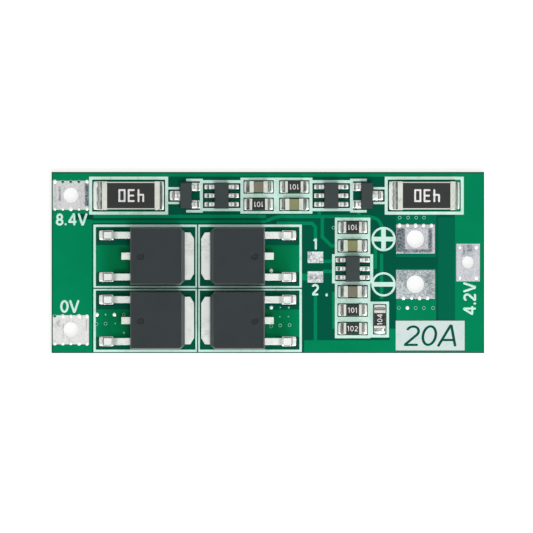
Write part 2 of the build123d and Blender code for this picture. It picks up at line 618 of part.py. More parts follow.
resistor = chip_part(CHIP_PART_LENGTH, CHIP_PART_WIDTH, RESISTOR_HEIGHT, RESISTOR_CAP, CHIP_FILLET)
resistor_places = [
    (row_x + block_dx, row_y + block_dy, 180),
    (row_x - block_dx, row_y - block_dy, 180),
    (column_x, column_y[0], 180),
    (column_x, column_y[3], 0),
    (column_x, column_y[4], 0),
    (side_part_x, side_part_y, 90),
]
for number, place in enumerate(resistor_places, 1):
    add_chip_part(f"resistor_{number}", *place, resistor)

capacitor = chip_part(CHIP_PART_LENGTH, CHIP_PART_WIDTH, CAPACITOR_HEIGHT, CAPACITOR_CAP, CHIP_FILLET)
capacitor_places = [
    (row_x - block_dx, row_y + block_dy, 0),
    (row_x + block_dx, row_y - block_dy, 0),
    (column_x, column_y[1], 0),
    (column_x, column_y[2], 0),
]
for number, place in enumerate(capacitor_places, 1):
    add_chip_part(f"capacitor_{number}", *place, capacitor)

nodes["solder_joints"] = joined(solder)

# The origin goes to the middle of the underside, and each piece is written to its own file
to_origin = Pos(-board_length / 2, -board_width / 2, 0)
for name, shape in nodes.items():
    export_step(to_origin * shape, f"parts/{name}.step")
print(len(nodes), "nodes, board", round(board_length, 2), "x", round(board_width, 2))
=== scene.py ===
# %% [markdown]
# # A battery management board for two cells in series
#
# The real object is a printed circuit board, 47 mm long, with packaged parts soldered to its upper face.
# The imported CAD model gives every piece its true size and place. This lesson dresses it: edges are eased,
# solder is made to flow, print is drawn, and each surface gets a finish of its own.

# %% Load the frame
import bmesh
import bpy
import math
from mathutils import Matrix, Vector


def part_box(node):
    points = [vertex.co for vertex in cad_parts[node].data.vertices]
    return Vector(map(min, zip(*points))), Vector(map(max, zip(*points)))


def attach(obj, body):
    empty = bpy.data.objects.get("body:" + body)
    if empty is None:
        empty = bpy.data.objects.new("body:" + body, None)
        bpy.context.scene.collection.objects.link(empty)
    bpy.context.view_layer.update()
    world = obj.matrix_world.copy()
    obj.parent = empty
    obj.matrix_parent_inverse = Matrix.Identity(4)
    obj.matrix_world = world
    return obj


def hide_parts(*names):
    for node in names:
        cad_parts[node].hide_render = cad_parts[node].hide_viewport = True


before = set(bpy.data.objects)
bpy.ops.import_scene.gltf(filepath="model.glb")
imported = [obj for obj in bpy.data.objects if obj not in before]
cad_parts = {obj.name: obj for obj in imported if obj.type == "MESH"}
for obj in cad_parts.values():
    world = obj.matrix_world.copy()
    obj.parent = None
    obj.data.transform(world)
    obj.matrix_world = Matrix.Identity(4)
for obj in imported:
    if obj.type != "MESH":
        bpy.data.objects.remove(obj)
scene = bpy.context.scene
MM = 0.001                                   # lengths below are written in millimetres
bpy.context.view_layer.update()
board_low, board_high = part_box("circuit_board")
print(len(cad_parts), "CAD nodes, board", [round(v / MM, 2) for v in board_high - board_low])

# %% [markdown]
# The photograph looks straight down on the board. A long lens far above it keeps the sides of the tall parts
# out of sight, as they are there. The picture's side spans 58.4 mm at the board's face, and the board sits
# a little less than half a millimetre above the middle of the picture.

# %% Camera
VIEW_SPAN = 58.37                            # millimetres across the picture
VIEW_CENTRE = (-0.148, -0.437)               # the picture's middle, from the board's
CAMERA_HEIGHT = 900.0
CLIP_START, CLIP_END = 0.01, 10.0            # metres


def new_object(name, data):
    """An object in the scene."""
    thing = bpy.data.objects.new(name, data)
    scene.collection.objects.link(thing)
    return thing


camera = new_object("camera", bpy.data.cameras.new("camera"))
camera.data.lens = camera.data.sensor_width * CAMERA_HEIGHT / VIEW_SPAN
camera.data.clip_start, camera.data.clip_end = CLIP_START, CLIP_END
camera.location = (VIEW_CENTRE[0] * MM, VIEW_CENTRE[1] * MM, board_high.z + CAMERA_HEIGHT * MM)
scene.camera = camera
scene.view_settings.view_transform = "Standard"
print("lens", round(camera.data.lens), "mm")

# %% [markdown]
# Node trees are easier to read when they are written like sums. A Flow stands for one output socket, and
# adding or multiplying Flows adds Math nodes to the tree. The same class serves materials and Geometry Nodes,
# because both kinds of tree use the same Math node.

# %% Sums that build nodes
class Flow:
    """One number that runs through a node tree."""

    def __init__(self, tree, socket):
        self.tree, self.socket = tree, socket

    def math(self, operation, *others, clamp=False):
        values = [self, *others]
        node = add(self.tree, "ShaderNodeMath", dict(enumerate(values)), operation=operation, use_clamp=clamp)
        return Flow(self.tree, node.outputs[0])

    def __add__(self, other):
        return self.math("ADD", other)

    def __sub__(self, other):
        return self.math("SUBTRACT", other)

    def __mul__(self, other):
        return self.math("MULTIPLY", other)

    def __truediv__(self, other):
        return self.math("DIVIDE", other)

    def __pow__(self, other):
        return self.math("POWER", other)

    def __rsub__(self, other):
        return self.math("MULTIPLY", -1.0).math("ADD", other)

    __radd__, __rmul__ = __add__, __mul__

    def size(self):
        return self.math("ABSOLUTE")

    def ramp(self, low, high, start=0.0, end=1.0):
        """Runs smoothly from start to end as this number goes from low to high."""
        values = {"Value": self, "From Min": low, "From Max": high, "To Min": start, "To Max": end}
        node = add(self.tree, "ShaderNodeMapRange", values, interpolation_type="SMOOTHSTEP")
        return Flow(self.tree, node.outputs["Result"])


print("a Flow adds nodes for +, -, *, / and **")

# %% [markdown]
# A node that takes inputs is added by one function, which links or sets them too. Two more take a vector
# apart into Flows and put one together.

# %% Nodes
def add(tree, kind, inputs=None, **settings):
    """Adds a node. An input takes a value, a socket or a Flow, and is named or numbered."""
    node = tree.nodes.new(kind)
    for name, value in settings.items():
        setattr(node, name, value)
    for key, value in (inputs or {}).items():
        value = value.socket if isinstance(value, Flow) else value
        if isinstance(value, bpy.types.NodeSocket):
            tree.links.new(value, node.inputs[key])
        else:
            node.inputs[key].default_value = value
    return node


def split(tree, vector):
    """The three parts of a vector."""
    node = add(tree, "ShaderNodeSeparateXYZ", {0: vector})
    return [Flow(tree, socket) for socket in node.outputs]


def combine(tree, x=0.0, y=0.0, z=0.0):
    return add(tree, "ShaderNodeCombineXYZ", {0: x, 1: y, 2: z}).outputs[0]


print("helpers:", add.__name__, split.__name__, combine.__name__)

# %% [markdown]
# An effect that several finishes share is a node group, made once and placed with its own values. Most
# effects need the same few nodes: a cloud of noise, a colour made lighter or darker, and a mix of two
# colours. A grain is given in millimetres throughout, and is about as wide as one blob of the cloud.

# %% Helpers for shared effects
def new_group(name, inputs, outputs):
    """An empty shader group with its sockets, and its input and output nodes."""
    tree = bpy.data.node_groups.new(name, "ShaderNodeTree")
    for label, kind, value in inputs:
        socket = tree.interface.new_socket(name=label, in_out="INPUT", socket_type="NodeSocket" + kind)
        if value is not None:
            socket.default_value = value
    for label, kind in outputs:
        tree.interface.new_socket(name=label, in_out="OUTPUT", socket_type="NodeSocket" + kind)
    return tree, tree.nodes.new("NodeGroupInput").outputs, tree.nodes.new("NodeGroupOutput").inputs


def noise(tree, vector, grain, detail=3.0, distortion=0.0):
    """A cloud of noise; its grain is a number of millimetres or a Flow."""
    scale = grain.math("POWER", -1.0) * (1 / MM) if isinstance(grain, Flow) else 1 / (grain * MM)
    values = {"Vector": vector, "Scale": scale, "Detail": detail, "Distortion": distortion}
    return Flow(tree, add(tree, "ShaderNodeTexNoise", values).outputs[0])


def shaded(tree, colour, brightness):
    """A colour made lighter or darker by a number around one."""
    plain = colour[:3] if isinstance(colour, tuple) else colour
    node = add(tree, "ShaderNodeVectorMath", {0: plain, "Scale": brightness}, operation="SCALE")
    return node.outputs[0]


def mixed(tree, factor, first, second):
    node = add(tree, "ShaderNodeMix", {0: factor, 6: first, 7: second}, data_type="RGBA")
    return node.outputs[2]


print("helpers:", new_group.__name__, noise.__name__, shaded.__name__, mixed.__name__)

# %% [markdown]
# Mottle is the unevenness of anything cast, printed or coated: a cloud of slightly lighter and darker colour,
# and the same cloud as a height for bump.

# %% Shared effect: mottle
def make_mottle():
    tree, given, result = new_group(
        "mottle",
        [("Vector", "Vector", None), ("Colour", "Color", (0.5, 0.5, 0.5, 1)), ("Grain", "Float", 1.0),
         ("Depth", "Float", 0.1)],
        [("Colour", "Color"), ("Height", "Float")])
    cloud = noise(tree, given["Vector"], Flow(tree, given["Grain"]))
    brightness = (cloud - 0.5) * 2.0 * Flow(tree, given["Depth"]) + 1.0
    tree.links.new(shaded(tree, given["Colour"], brightness), result["Colour"])
    tree.links.new(cloud.socket, result["Height"])
    return tree


mottle = make_mottle()
print(mottle.name, "has", len(mottle.nodes), "nodes")

# %% [markdown]
# Tinned metal is never even. It cools in streaks, and flux leaves thin dark lines and dull spots on it.
# The stain group draws such lines where a stretched noise crosses its middle value, and breaks them up with
# a second, coarser noise. Lands, leads, end caps and beads of solder all use it, each with its own stretch
# and amount.

# %% Shared effect: stain
LINE_SHARPNESS = 0.09
LINE_WARP = 0.6
PATCH_SPREAD = 2.6                           # how much coarser the second noise is
PATCH_LEVELS = (0.42, 0.62)


def make_stain():
    tree, given, result = new_group(
        "stain",
        [("Vector", "Vector", None), ("Clean", "Color", (0.6, 0.6, 0.6, 1)),
         ("Stained", "Color", (0.1, 0.1, 0.1, 1)), ("Grain", "Float", 0.5), ("Stretch", "Vector", (1, 1, 1)),
         ("Amount", "Float", 0.5)],
        [("Colour", "Color"), ("Mask", "Float"), ("Height", "Float")])
    along = add(tree, "ShaderNodeVectorMath", {0: given["Vector"], 1: given["Stretch"]}, operation="MULTIPLY")
    grain = Flow(tree, given["Grain"])
    lines = noise(tree, along.outputs[0], grain, detail=4.0, distortion=LINE_WARP)
    patches = noise(tree, given["Vector"], grain * PATCH_SPREAD, detail=2.0)
    line = (lines - 0.5).size().ramp(0.0, LINE_SHARPNESS, 1.0, 0.0)
    mask = (line * patches.ramp(*PATCH_LEVELS)).math("MULTIPLY", Flow(tree, given["Amount"]), clamp=True)
    tree.links.new(mixed(tree, mask, given["Clean"], given["Stained"]), result["Colour"])
    tree.links.new(mask.socket, result["Mask"])
    tree.links.new(lines.socket, result["Height"])
    return tree


stain = make_stain()
print(stain.name, "has", len(stain.nodes), "nodes")

# %% [markdown]
# Some marks keep to one place: copper on the far side that shines through, or the scorched end of a land.
# The patch group is a soft-edged rectangle of the plan, given by its middle and half size in metres.

# %% Shared effect: patch
def make_patch():
    tree, given, result = new_group(
        "patch",
        [("Vector", "Vector", None), ("Middle", "Vector", (0, 0, 0)), ("Half", "Vector", (0.001, 0.001, 0)),
         ("Softness", "Float", 0.0001)],
        [("Mask", "Float")])
    offset = add(tree, "ShaderNodeVectorMath", {0: given["Vector"], 1: given["Middle"]}, operation="SUBTRACT")
    x, y, _ = split(tree, offset.outputs[0])
    half_x, half_y, _ = split(tree, given["Half"])
    outside = (x.size() - half_x).math("MAXIMUM", y.size() - half_y)
    soft = Flow(tree, given["Softness"])
    tree.links.new(outside.ramp(-1.0 * soft, soft, 1.0, 0.0).socket, result["Mask"])
    return tree


patch = make_patch()
print(patch.name, "has", len(patch.nodes), "nodes")

# %% [markdown]
# A finish is a material with one Principled shader. Colours are written as they look on screen, from 0 to
# 255, and turned into the linear values that Blender works with. Anything that is the same all over stays on
# the shader's own socket.

# %% Helpers for finishes
def tint(red, green, blue):
    """A screen colour as linear light."""
    def linear(value):
        share = value / 255
        return share / 12.92 if share <= 0.04045 else ((share + 0.055) / 1.055) ** 2.4
    return (linear(red), linear(green), linear(blue), 1.0)


def new_finish(name, **fixed):
    """A material, its tree, its shader and the place on the object that its patterns follow."""
    material = bpy.data.materials.new(name)
    material.use_nodes = True
    tree = material.node_tree
    shader = tree.nodes["Principled BSDF"]
    for label, value in fixed.items():
        shader.inputs[label.replace("_", " ")].default_value = value
    place = tree.nodes.new("ShaderNodeTexCoord").outputs["Object"]
    return material, tree, shader, place


def use(tree, group, **values):
    """Places a shared effect in a tree."""
    return add(tree, "ShaderNodeGroup", values, node_tree=group).outputs


def emboss(tree, shader, height, depth):
    """Feeds a height to the shader as bump, its depth in millimetres."""
    bump = add(tree, "ShaderNodeBump", {"Height": height, "Distance": depth * MM, "Strength": 1.0})
    tree.links.new(bump.outputs[0], shader.inputs["Normal"])


def facing_up(tree):
    """The surface's own direction: 1 on an upper face, 0 on a side and -1 underneath."""
    return split(tree, tree.nodes.new("ShaderNodeTexCoord").outputs["Normal"])[2]


print("white is", tint(255, 255, 255)[:3])

# %% [markdown]
# Both faces of the board are coated with green solder mask, a thin lacquer that pools and runs a little as it
# dries. Its green is therefore cloudy and its gloss waves. Marks that keep to one place are painted through
# the patch group, and the second helper gives it two corners instead of a middle and a half size.

# %% Helpers for the mask
MASK_DARK = tint(0, 85, 64)
SWELL, SWELL_DEPTH = 0.8, 0.01               # the low waves of the mask
COPPER_EDGE = 0.12                           # softness of what shows through it


def mask_finish(name, colour):
    """A new finish, with the cloudy green of its mask."""
    material, tree, shader, place = new_finish(name, Roughness=0.3, Specular_IOR_Level=0.02)
    emboss(tree, shader, noise(tree, place, SWELL), SWELL_DEPTH)
    cloudy = use(tree, mottle, Vector=place, Colour=colour, Grain=5.0, Depth=0.14)
    return material, tree, shader, place, cloudy["Colour"]


def box_patch(tree, place, low, high, softness):
    """The mask of a patch between two corners, its softness in millimetres."""
    middle, half = (low + high) / 2, (high - low) / 2
    values = {"Vector": place, "Middle": middle, "Half": half, "Softness": softness * MM}
    return Flow(tree, use(tree, patch, **values)["Mask"])


print("mask on laminate is", [round(share, 3) for share in MASK_DARK[:3]])

# %% [markdown]
# The board is glass fibre laminate, cut to shape. Under the mask its threads show as a faint weave, and
# copper on the far side shines through as a lighter strip. On the routed edge there is no mask, so the pale
# layers of the laminate show. The side of the board is told from its faces by the surface's own direction.

# %% Finish: solder mask on laminate
MASK_THROUGH = tint(0, 101, 74)
LAMINATE = tint(190, 184, 140)
WEAVE, WEAVE_DEPTH = 0.45, 0.03              # pitch of the glass threads, and how much they shade the face
LAYER, LAYER_DEPTH = 0.2, 0.25               # one layer of glass cloth, and how much it shades the edge
FIBRE, FIBRE_DEPTH = 0.15, 0.4
EDGE_SHADE = 0.6                             # the darkest of the edge
MASK_ROUGHNESS, EDGE_ROUGHNESS = 0.36, 0.7
FACE_LEVELS = (0.4, 0.6)                     # from the side to the face
THROUGH_LENGTH, THROUGH_WIDTH = 2.0, 11.3    # copper on the far side, right of the output terminals
THROUGH_SHIFT = 0.35                         # its gap from the terminals


def wave(distance, pitch):
    """A sine along a distance, its pitch in millimetres."""
    return (distance * (math.tau / (pitch * MM))).math("SINE")


def make_board_finish():
    material, tree, shader, place, green = mask_finish("mask_on_laminate", MASK_DARK)
    plus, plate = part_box("output_plus_terminal")[1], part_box("rating_plate")[1]
    low = Vector((plus.x + THROUGH_SHIFT * MM, plate.y, 0))
    high = low + Vector((THROUGH_LENGTH, THROUGH_WIDTH, 0)) * MM
    coated = mixed(tree, box_patch(tree, place, low, high, COPPER_EDGE), green, MASK_THROUGH)
    across, along, up = split(tree, place)
    coated = shaded(tree, coated, wave(across, WEAVE) * wave(along, WEAVE) * WEAVE_DEPTH + 1.0)
    layers = wave(up, LAYER) * 0.5 + 0.5
    fibres = noise(tree, place, FIBRE)
    bare = shaded(tree, LAMINATE, layers * LAYER_DEPTH + fibres * FIBRE_DEPTH + EDGE_SHADE)
    face = facing_up(tree).size().ramp(*FACE_LEVELS)
    tree.links.new(mixed(tree, face, bare, coated), shader.inputs["Base Color"])
    roughness = face * (MASK_ROUGHNESS - EDGE_ROUGHNESS) + EDGE_ROUGHNESS
    tree.links.new(roughness.socket, shader.inputs["Roughness"])
    return material


board_finish = make_board_finish()
print(board_finish.name, "has", len(board_finish.node_tree.nodes), "nodes")

# %% [markdown]
# Over copper the mask is lighter. It is darker again where it lies thick, in the wide gaps between two areas
# of copper, and behind the rating, where there is no copper at all. Round the power transistors it carries
# painted shade of their tall cases. Each such place is one soft patch.

# %% Finish: solder mask on copper
MASK_COPPER = tint(0, 131, 87)
# painted shade: the mask round the tall cases of the power transistors is drawn darker
MASK_SHADED = tint(0, 116, 70)               # over the copper of the power transistors
MASK_THICK = tint(0, 108, 78)                # over the copper round the plus terminal
MASK_GAP = tint(0, 72, 56)                   # where a gap in the copper is wider than its groove
BANK_SOFTNESS = 1.0                          # round the copper of the power transistors
THICK_REACH = Vector((0.6, 1.9, 0)) * MM     # of the thick mask beyond the plus terminal
THICK_SOFTNESS = 0.3
GAPS = [((-21.08, 4.71), (-19.11, 5.35)), ((-19.27, 4.62), (-0.17, 4.87))]  # corners, in millimetres


def make_copper_finish():
    """Lighter green, with its darker places."""
    material, tree, shader, place, colour = mask_finish("mask_on_copper", MASK_COPPER)
    bank = [corner for i in range(1, 5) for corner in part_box(f"mosfet_{i}_leads")]
    plus_low, plus_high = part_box("output_plus_terminal")
    gaps = [[Vector((*corner, 0)) * MM for corner in gap] for gap in GAPS]
    # the first patch is painted shade round the power transistors
    darker = [(Vector(map(min, zip(*bank))), Vector(map(max, zip(*bank))), BANK_SOFTNESS, MASK_SHADED),
              (plus_low - THICK_REACH, plus_high + THICK_REACH, THICK_SOFTNESS, MASK_THICK),
              *((low, high, COPPER_EDGE / 2, MASK_GAP) for low, high in gaps),
              (*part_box("rating_plate"), COPPER_EDGE, MASK_DARK)]
    for low, high, softness, green in darker:
        colour = mixed(tree, box_patch(tree, place, low, high, softness), colour, green)
    tree.links.new(colour, shader.inputs["Base Color"])
    return material


copper_finish = make_copper_finish()
print(copper_finish.name, "has", len(GAPS) + 3, "darker places")

# %% [markdown]
# The print is white ink, screened on through a mesh. It is slightly thin in places, so the green beneath
# tints it, and it has no gloss. The codes on the parts are printed at another works, in a purer white.

# %% Finish: printed ink
INK, INK_THIN = tint(206, 240, 228), tint(184, 222, 207)
INK_WIDE, INK_WIDE_THIN = tint(209, 223, 221), tint(194, 219, 210)
INK_CODE, INK_CODE_THIN = tint(238, 236, 235), tint(212, 211, 209)
THIN_GRAIN, THIN_LEVELS = 0.7, (0.52, 0.75)  # where the ink is thin
SCREEN_GRAIN, SCREEN_DEPTH = 0.12, 0.006     # what the mesh leaves on it


def make_ink_finish(name, ink, worn):
    material, tree, shader, place = new_finish(name, Roughness=0.6, Specular_IOR_Level=0.2)
    thin = noise(tree, place, THIN_GRAIN, detail=5.0).ramp(*THIN_LEVELS)
    tree.links.new(mixed(tree, thin, ink, worn), shader.inputs["Base Color"])
    emboss(tree, shader, noise(tree, place, SCREEN_GRAIN), SCREEN_DEPTH)
    return material


ink_finish = make_ink_finish("printed_lines", INK, INK_THIN)
plate_finish = make_ink_finish("printed_area", INK_WIDE, INK_WIDE_THIN)
code_finish = make_ink_finish("printed_codes", INK_CODE, INK_CODE_THIN)
print(ink_finish.name, plate_finish.name, code_finish.name)

# %% [markdown]
# The metals differ in how they were coated. Leads were plated and then bent. End caps are a thin matt plating
# on ceramic. Lands under a joint are tinned, and a bead of solder is the brightest. One function makes these
# four from a clean colour, a stained colour and a grain. The slopes of solder and the large lands need more,
# and come after them.

# %% Finish: the metals
CLOUD_SPREAD, CLOUD_DEPTH = 3, 0.12          # how many times coarser than the streaks, and how strong
STAIN_ROUGHNESS = 0.25


def make_metal_finish(name, clean, stained, grain, stretch, amount, roughness, metallic, depth):
    material, tree, shader, place = new_finish(name, Metallic=metallic)
    marks = use(tree, stain, Vector=place, Clean=clean, Stained=stained, Grain=grain, Stretch=stretch,
                Amount=amount)
    cloudy = use(tree, mottle, Vector=place, Colour=marks["Colour"], Grain=grain * CLOUD_SPREAD,
                 Depth=CLOUD_DEPTH)
    tree.links.new(cloudy["Colour"], shader.inputs["Base Color"])
    rough = Flow(tree, marks["Mask"]) * STAIN_ROUGHNESS + roughness
    tree.links.new(rough.socket, shader.inputs["Roughness"])
    emboss(tree, shader, marks["Height"], depth)
    return material


lead_finish = make_metal_finish(
    "plated_lead", tint(216, 220, 217), tint(176, 179, 176), grain=0.7, stretch=(0.6, 1.6, 0.4), amount=0.35,
    roughness=0.52, metallic=0.6, depth=0.005)
cap_finish = make_metal_finish(
    "plated_cap", tint(202, 206, 197), tint(150, 152, 142), grain=0.5, stretch=(2.5, 0.5, 1), amount=0.5,
    roughness=0.45, metallic=0.5, depth=0.01)
tinned_finish = make_metal_finish(
    "tinned_land", tint(216, 220, 216), tint(140, 142, 140), grain=0.35, stretch=(1, 1, 1), amount=0.4,
    roughness=0.35, metallic=0.6, depth=0.01)
bead_finish = make_metal_finish(
    "solder_bead", tint(236, 238, 236), tint(150, 150, 150), grain=0.3, stretch=(1, 1, 1), amount=0.3,
    roughness=0.3, metallic=0.5, depth=0.01)
print(lead_finish.name, cap_finish.name, tinned_finish.name, bead_finish.name)

# %% [markdown]
# A slope of solder is a curved mirror. Seen from above, its steep foot at the part shows the dark side of the
# part, its middle shows bands of the room, and its flat rim shows the bright lamp. These reflections are
# painted into its colour: the slopes carry an attribute that runs from 0 at the part to 1 at the rim, and a
# gradient along it paints the bands. Noise bends the bands and makes some joints duller than others.

# %% Finish: flowed solder, with painted reflections
# painted reflection: each band is a colour at a share of the way from the part to the rim
PAINTED_REFLECTION_BANDS = [(0.0, tint(74, 79, 76)), (0.13, tint(146, 152, 147)), (0.3, tint(206, 211, 206)),
         (0.42, tint(170, 176, 170)), (0.5, tint(96, 102, 98)), (0.58, tint(190, 196, 190)),
         (0.76, tint(240, 243, 239)), (1.0, tint(216, 221, 217))]
SWAY_GRAIN, BAND_SWAY, SWAY_DEPTH = 0.5, 0.5, 0.02
DULL_JOINT = tint(90, 96, 92)
DULL_GRAIN, DULL_LEVELS, DULLEST = 2.5, (0.5, 0.7), 0.6
DULL_REACH = (0.3, 0.9)                      # along the slope, where dullness fades out


def make_solder_finish():
    material, tree, shader, place = new_finish("flowed_solder", Metallic=0.8, Roughness=0.3)
    descent = Flow(tree, add(tree, "ShaderNodeAttribute", attribute_name="descent").outputs["Fac"])
    sway = noise(tree, place, SWAY_GRAIN, detail=2.0)
    bands = add(tree, "ShaderNodeValToRGB", {0: descent + (sway - 0.5) * BAND_SWAY})
    ramp = bands.color_ramp
    for place_along, colour in PAINTED_REFLECTION_BANDS[1:-1]:
        ramp.elements.new(place_along).color = colour
    ramp.elements[0].color, ramp.elements[-1].color = PAINTED_REFLECTION_BANDS[0][1], PAINTED_REFLECTION_BANDS[-1][1]
    dull = noise(tree, place, DULL_GRAIN, detail=1.0).ramp(*DULL_LEVELS, 0.0, DULLEST)
    dull *= descent.ramp(*DULL_REACH, 1.0, 0.0)
    tree.links.new(mixed(tree, dull, bands.outputs[0], DULL_JOINT), shader.inputs["Base Color"])
    emboss(tree, shader, sway, SWAY_DEPTH)
    return material


solder_finish = make_solder_finish()
print(solder_finish.name, "has", len(PAINTED_REFLECTION_BANDS), "bands")

# %% [markdown]
# The finish of a large land adds a speckle and dull patches to the streaks, because tin that was heated too
# long loses its shine. Blotches break up a dull patch, and a strong patch less than a weak one.

# %% Helpers for the tinned lands
STREAK, STREAK_GRAIN, STREAK_STRETCH = tint(104, 102, 108), 0.5, (1.6, 0.7, 1)
DULL = tint(86, 98, 104)
DULL_EDGE = 0.12                             # softness of a dull patch
BLOTCH_GRAIN, BLOTCH_LEVELS = 0.45, (0.36, 0.58)
SPECKLE_GRAIN, SPECKLE_LEVELS = 0.2, (0.4, 0.6)
DULL_SPECKLE = 1.1                           # how strongly a dull patch is speckled
BREAK_UP = 1.15                              # a patch of this strength has no holes
LAND_ROUGHNESS, ROUGHNESS_SWING = 0.4, 0.2
LAND_DEPTH = 0.008


def patch_of(tree, place, node, area):
    """The mask of a patch over a share of a land."""
    low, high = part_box(node)
    size, (left, bottom, right, top) = high - low, area
    first = Vector((low.x + size.x * left, low.y + size.y * bottom, 0))
    last = Vector((low.x + size.x * right, low.y + size.y * top, 0))
    return box_patch(tree, place, first, last, DULL_EDGE)


def make_land_finish(node, tin, streaks, speckle, dulled):
    """Tin with streaks and speckle; each dulled place is an area and how dull it is."""
    material, tree, shader, place = new_finish(node + "_tin", Metallic=0.5)
    marks = use(tree, stain, Vector=place, Clean=tin, Stained=STREAK, Grain=STREAK_GRAIN,
                Stretch=STREAK_STRETCH, Amount=streaks)
    colour = use(tree, mottle, Vector=place, Colour=marks["Colour"], Grain=1.3, Depth=0.07)["Colour"]
    rough = noise(tree, place, SPECKLE_GRAIN, detail=5.0).ramp(*SPECKLE_LEVELS, -0.5, 0.5)
    blotch = noise(tree, place, BLOTCH_GRAIN, detail=4.0, distortion=0.4).ramp(*BLOTCH_LEVELS)
    for area, strength in dulled:
        dull_colour = shaded(tree, DULL, rough * DULL_SPECKLE + 1.0)
        broken = 1.0 - (1.0 - blotch) * (BREAK_UP - strength)
        cover = patch_of(tree, place, node, area) * strength * broken
        colour = mixed(tree, cover, colour, dull_colour)
    colour = shaded(tree, colour, rough * speckle + 1.0)
    tree.links.new(colour, shader.inputs["Base Color"])
    uneven = (Flow(tree, marks["Mask"]) + rough) * ROUGHNESS_SWING + LAND_ROUGHNESS
    tree.links.new(uneven.socket, shader.inputs["Roughness"])
    emboss(tree, shader, marks["Height"], LAND_DEPTH)
    return material


print("a dull patch is", DULL_EDGE, "mm soft")

# %% [markdown]
# Each land is dull or bright in its own way: those at the left end are pale with a few dark strokes, the plus
# land is scorched round its hole, and the minus land is speckled all over. The table gives each land its
# tin, how streaked and how speckled it is, and its dull patches. A patch is given by its left, lower, right
# and upper edge as shares of the land, and then by its strength.

# %% Finish: tinned lands
LANDS = {
    "high_terminal": (tint(200, 200, 201), 0.3, 0.08, [
        ((0.17, 0.3, 0.22, 0.8), 0.8), ((0.89, 0.12, 1.0, 0.93), 1.0), ((0.0, 0.1, 0.1, 0.9), 0.2)]),
    "zero_terminal": (tint(212, 212, 211), 0.3, 0.05, [
        ((0.92, 0.45, 0.94, 0.85), 0.7), ((0.28, 0.2, 0.31, 0.7), 0.45), ((0.1, 0.6, 0.2, 0.85), 0.4)]),
    "mid_terminal": (tint(188, 190, 195), 0.3, 0.08, [
        ((0.3, 0.72, 0.36, 0.95), 0.9), ((0.46, 0.8, 0.66, 0.98), 0.75), ((0.2, 0.66, 0.8, 0.96), 0.3)]),
    "output_plus_terminal": (tint(184, 186, 190), 0.4, 0.2, [
        ((0.0, 0.05, 0.23, 0.88), 1.0), ((0.83, 0.06, 0.93, 0.86), 1.0), ((0.2, 0.03, 0.9, 0.15), 0.9),
        ((0.2, 0.84, 0.9, 0.97), 0.3)]),
    "output_minus_terminal": (tint(168, 176, 178), 0.5, 0.5, [
        ((0.05, 0.6, 0.28, 1.0), 0.5), ((0.76, 0.1, 0.97, 0.95), 0.35)]),
    "test_pads": (tint(204, 210, 209), 0.9, 0.3, [((0.1, 0.1, 0.9, 0.2), 0.2)]),
}
land_finishes = {node: make_land_finish(node, *look) for node, look in LANDS.items()}
print(len(land_finishes), "land finishes")

# %% [markdown]
# The cases are moulded from a dark compound full of fine glass. It is matt and faintly pitted. Their sides
# are painted paler than the top, a painted highlight for the light that the walls catch. The small chips are
# a shade lighter than the power transistors. Ceramic bodies and their coats are matt and pitted too, in their
# own colours.

# %% Finish: moulding compound and ceramics
# the paler wall colour is a painted highlight for the light that the standing sides catch
CASE_TOP, CASE_WALL_HIGHLIGHT = tint(51, 57, 59), tint(100, 108, 106)
WALL_LEVELS = (0.15, 0.5)                    # from the wall to the top
PIT_GRAIN = 0.07


def pit(tree, shader, place, colour, grain, depth, pits):
    """Feeds a colour to the shader, clouded and finely pitted."""
    cloudy = use(tree, mottle, Vector=place, Colour=colour, Grain=grain, Depth=depth)
    fine = use(tree, mottle, Vector=place, Colour=cloudy["Colour"], Grain=PIT_GRAIN, Depth=depth)
    tree.links.new(fine["Colour"], shader.inputs["Base Color"])
    emboss(tree, shader, fine["Height"], pits)


def make_plain_finish(name, colour, grain, depth, roughness, gloss, pits):
    """A matt body of one colour."""
    material, tree, shader, place = new_finish(name, Roughness=roughness, Specular_IOR_Level=gloss)
    pit(tree, shader, place, colour, grain, depth, pits)
    return material


def make_case_finish():
    """Moulding compound, with a painted highlight that makes the standing sides paler."""
    material, tree, shader, place = new_finish("moulding_compound", Roughness=0.62, Specular_IOR_Level=0.12)
    wall = facing_up(tree).size().ramp(*WALL_LEVELS, 1.0, 0.0)
    pit(tree, shader, place, mixed(tree, wall, CASE_TOP, CASE_WALL_HIGHLIGHT), grain=2.2, depth=0.12, pits=0.012)
    return material


case_finish = make_case_finish()
chip_finish = make_plain_finish("chip_compound", tint(60, 68, 68), grain=1.0, depth=0.12, roughness=0.6,
                                gloss=0.12, pits=0.01)
ceramic_finish = make_plain_finish("alumina", tint(218, 218, 208), grain=0.8, depth=0.08, roughness=0.7,
                                   gloss=0.2, pits=0.006)
coat_finish = make_plain_finish("black_overcoat", tint(52, 54, 53), grain=1.2, depth=0.08, roughness=0.45,
                                gloss=0.12, pits=0.006)
brown_finish = make_plain_finish("brown_ceramic", tint(120, 117, 101), grain=0.5, depth=0.1, roughness=0.6,
                                 gloss=0.15, pits=0.006)
olive_finish = make_plain_finish("olive_ceramic", tint(134, 137, 98), grain=0.5, depth=0.14, roughness=0.6,
                                 gloss=0.15, pits=0.006)
print(case_finish.name, chip_finish.name, ceramic_finish.name, coat_finish.name)

# %% [markdown]
# A chip resistor is white ceramic with black glass on its upper face only, so its sides stay white. As on
# the board, the surface's own direction tells the face from the sides.

# %% Finish: chip resistor
GLASS, RESISTOR_SIDE = tint(52, 52, 53), tint(205, 203, 192)
GLASS_LEVELS = (0.25, 0.5)                   # from the side to the upper face
GLASS_GRAIN, GLASS_DEPTH = 0.1, 0.005


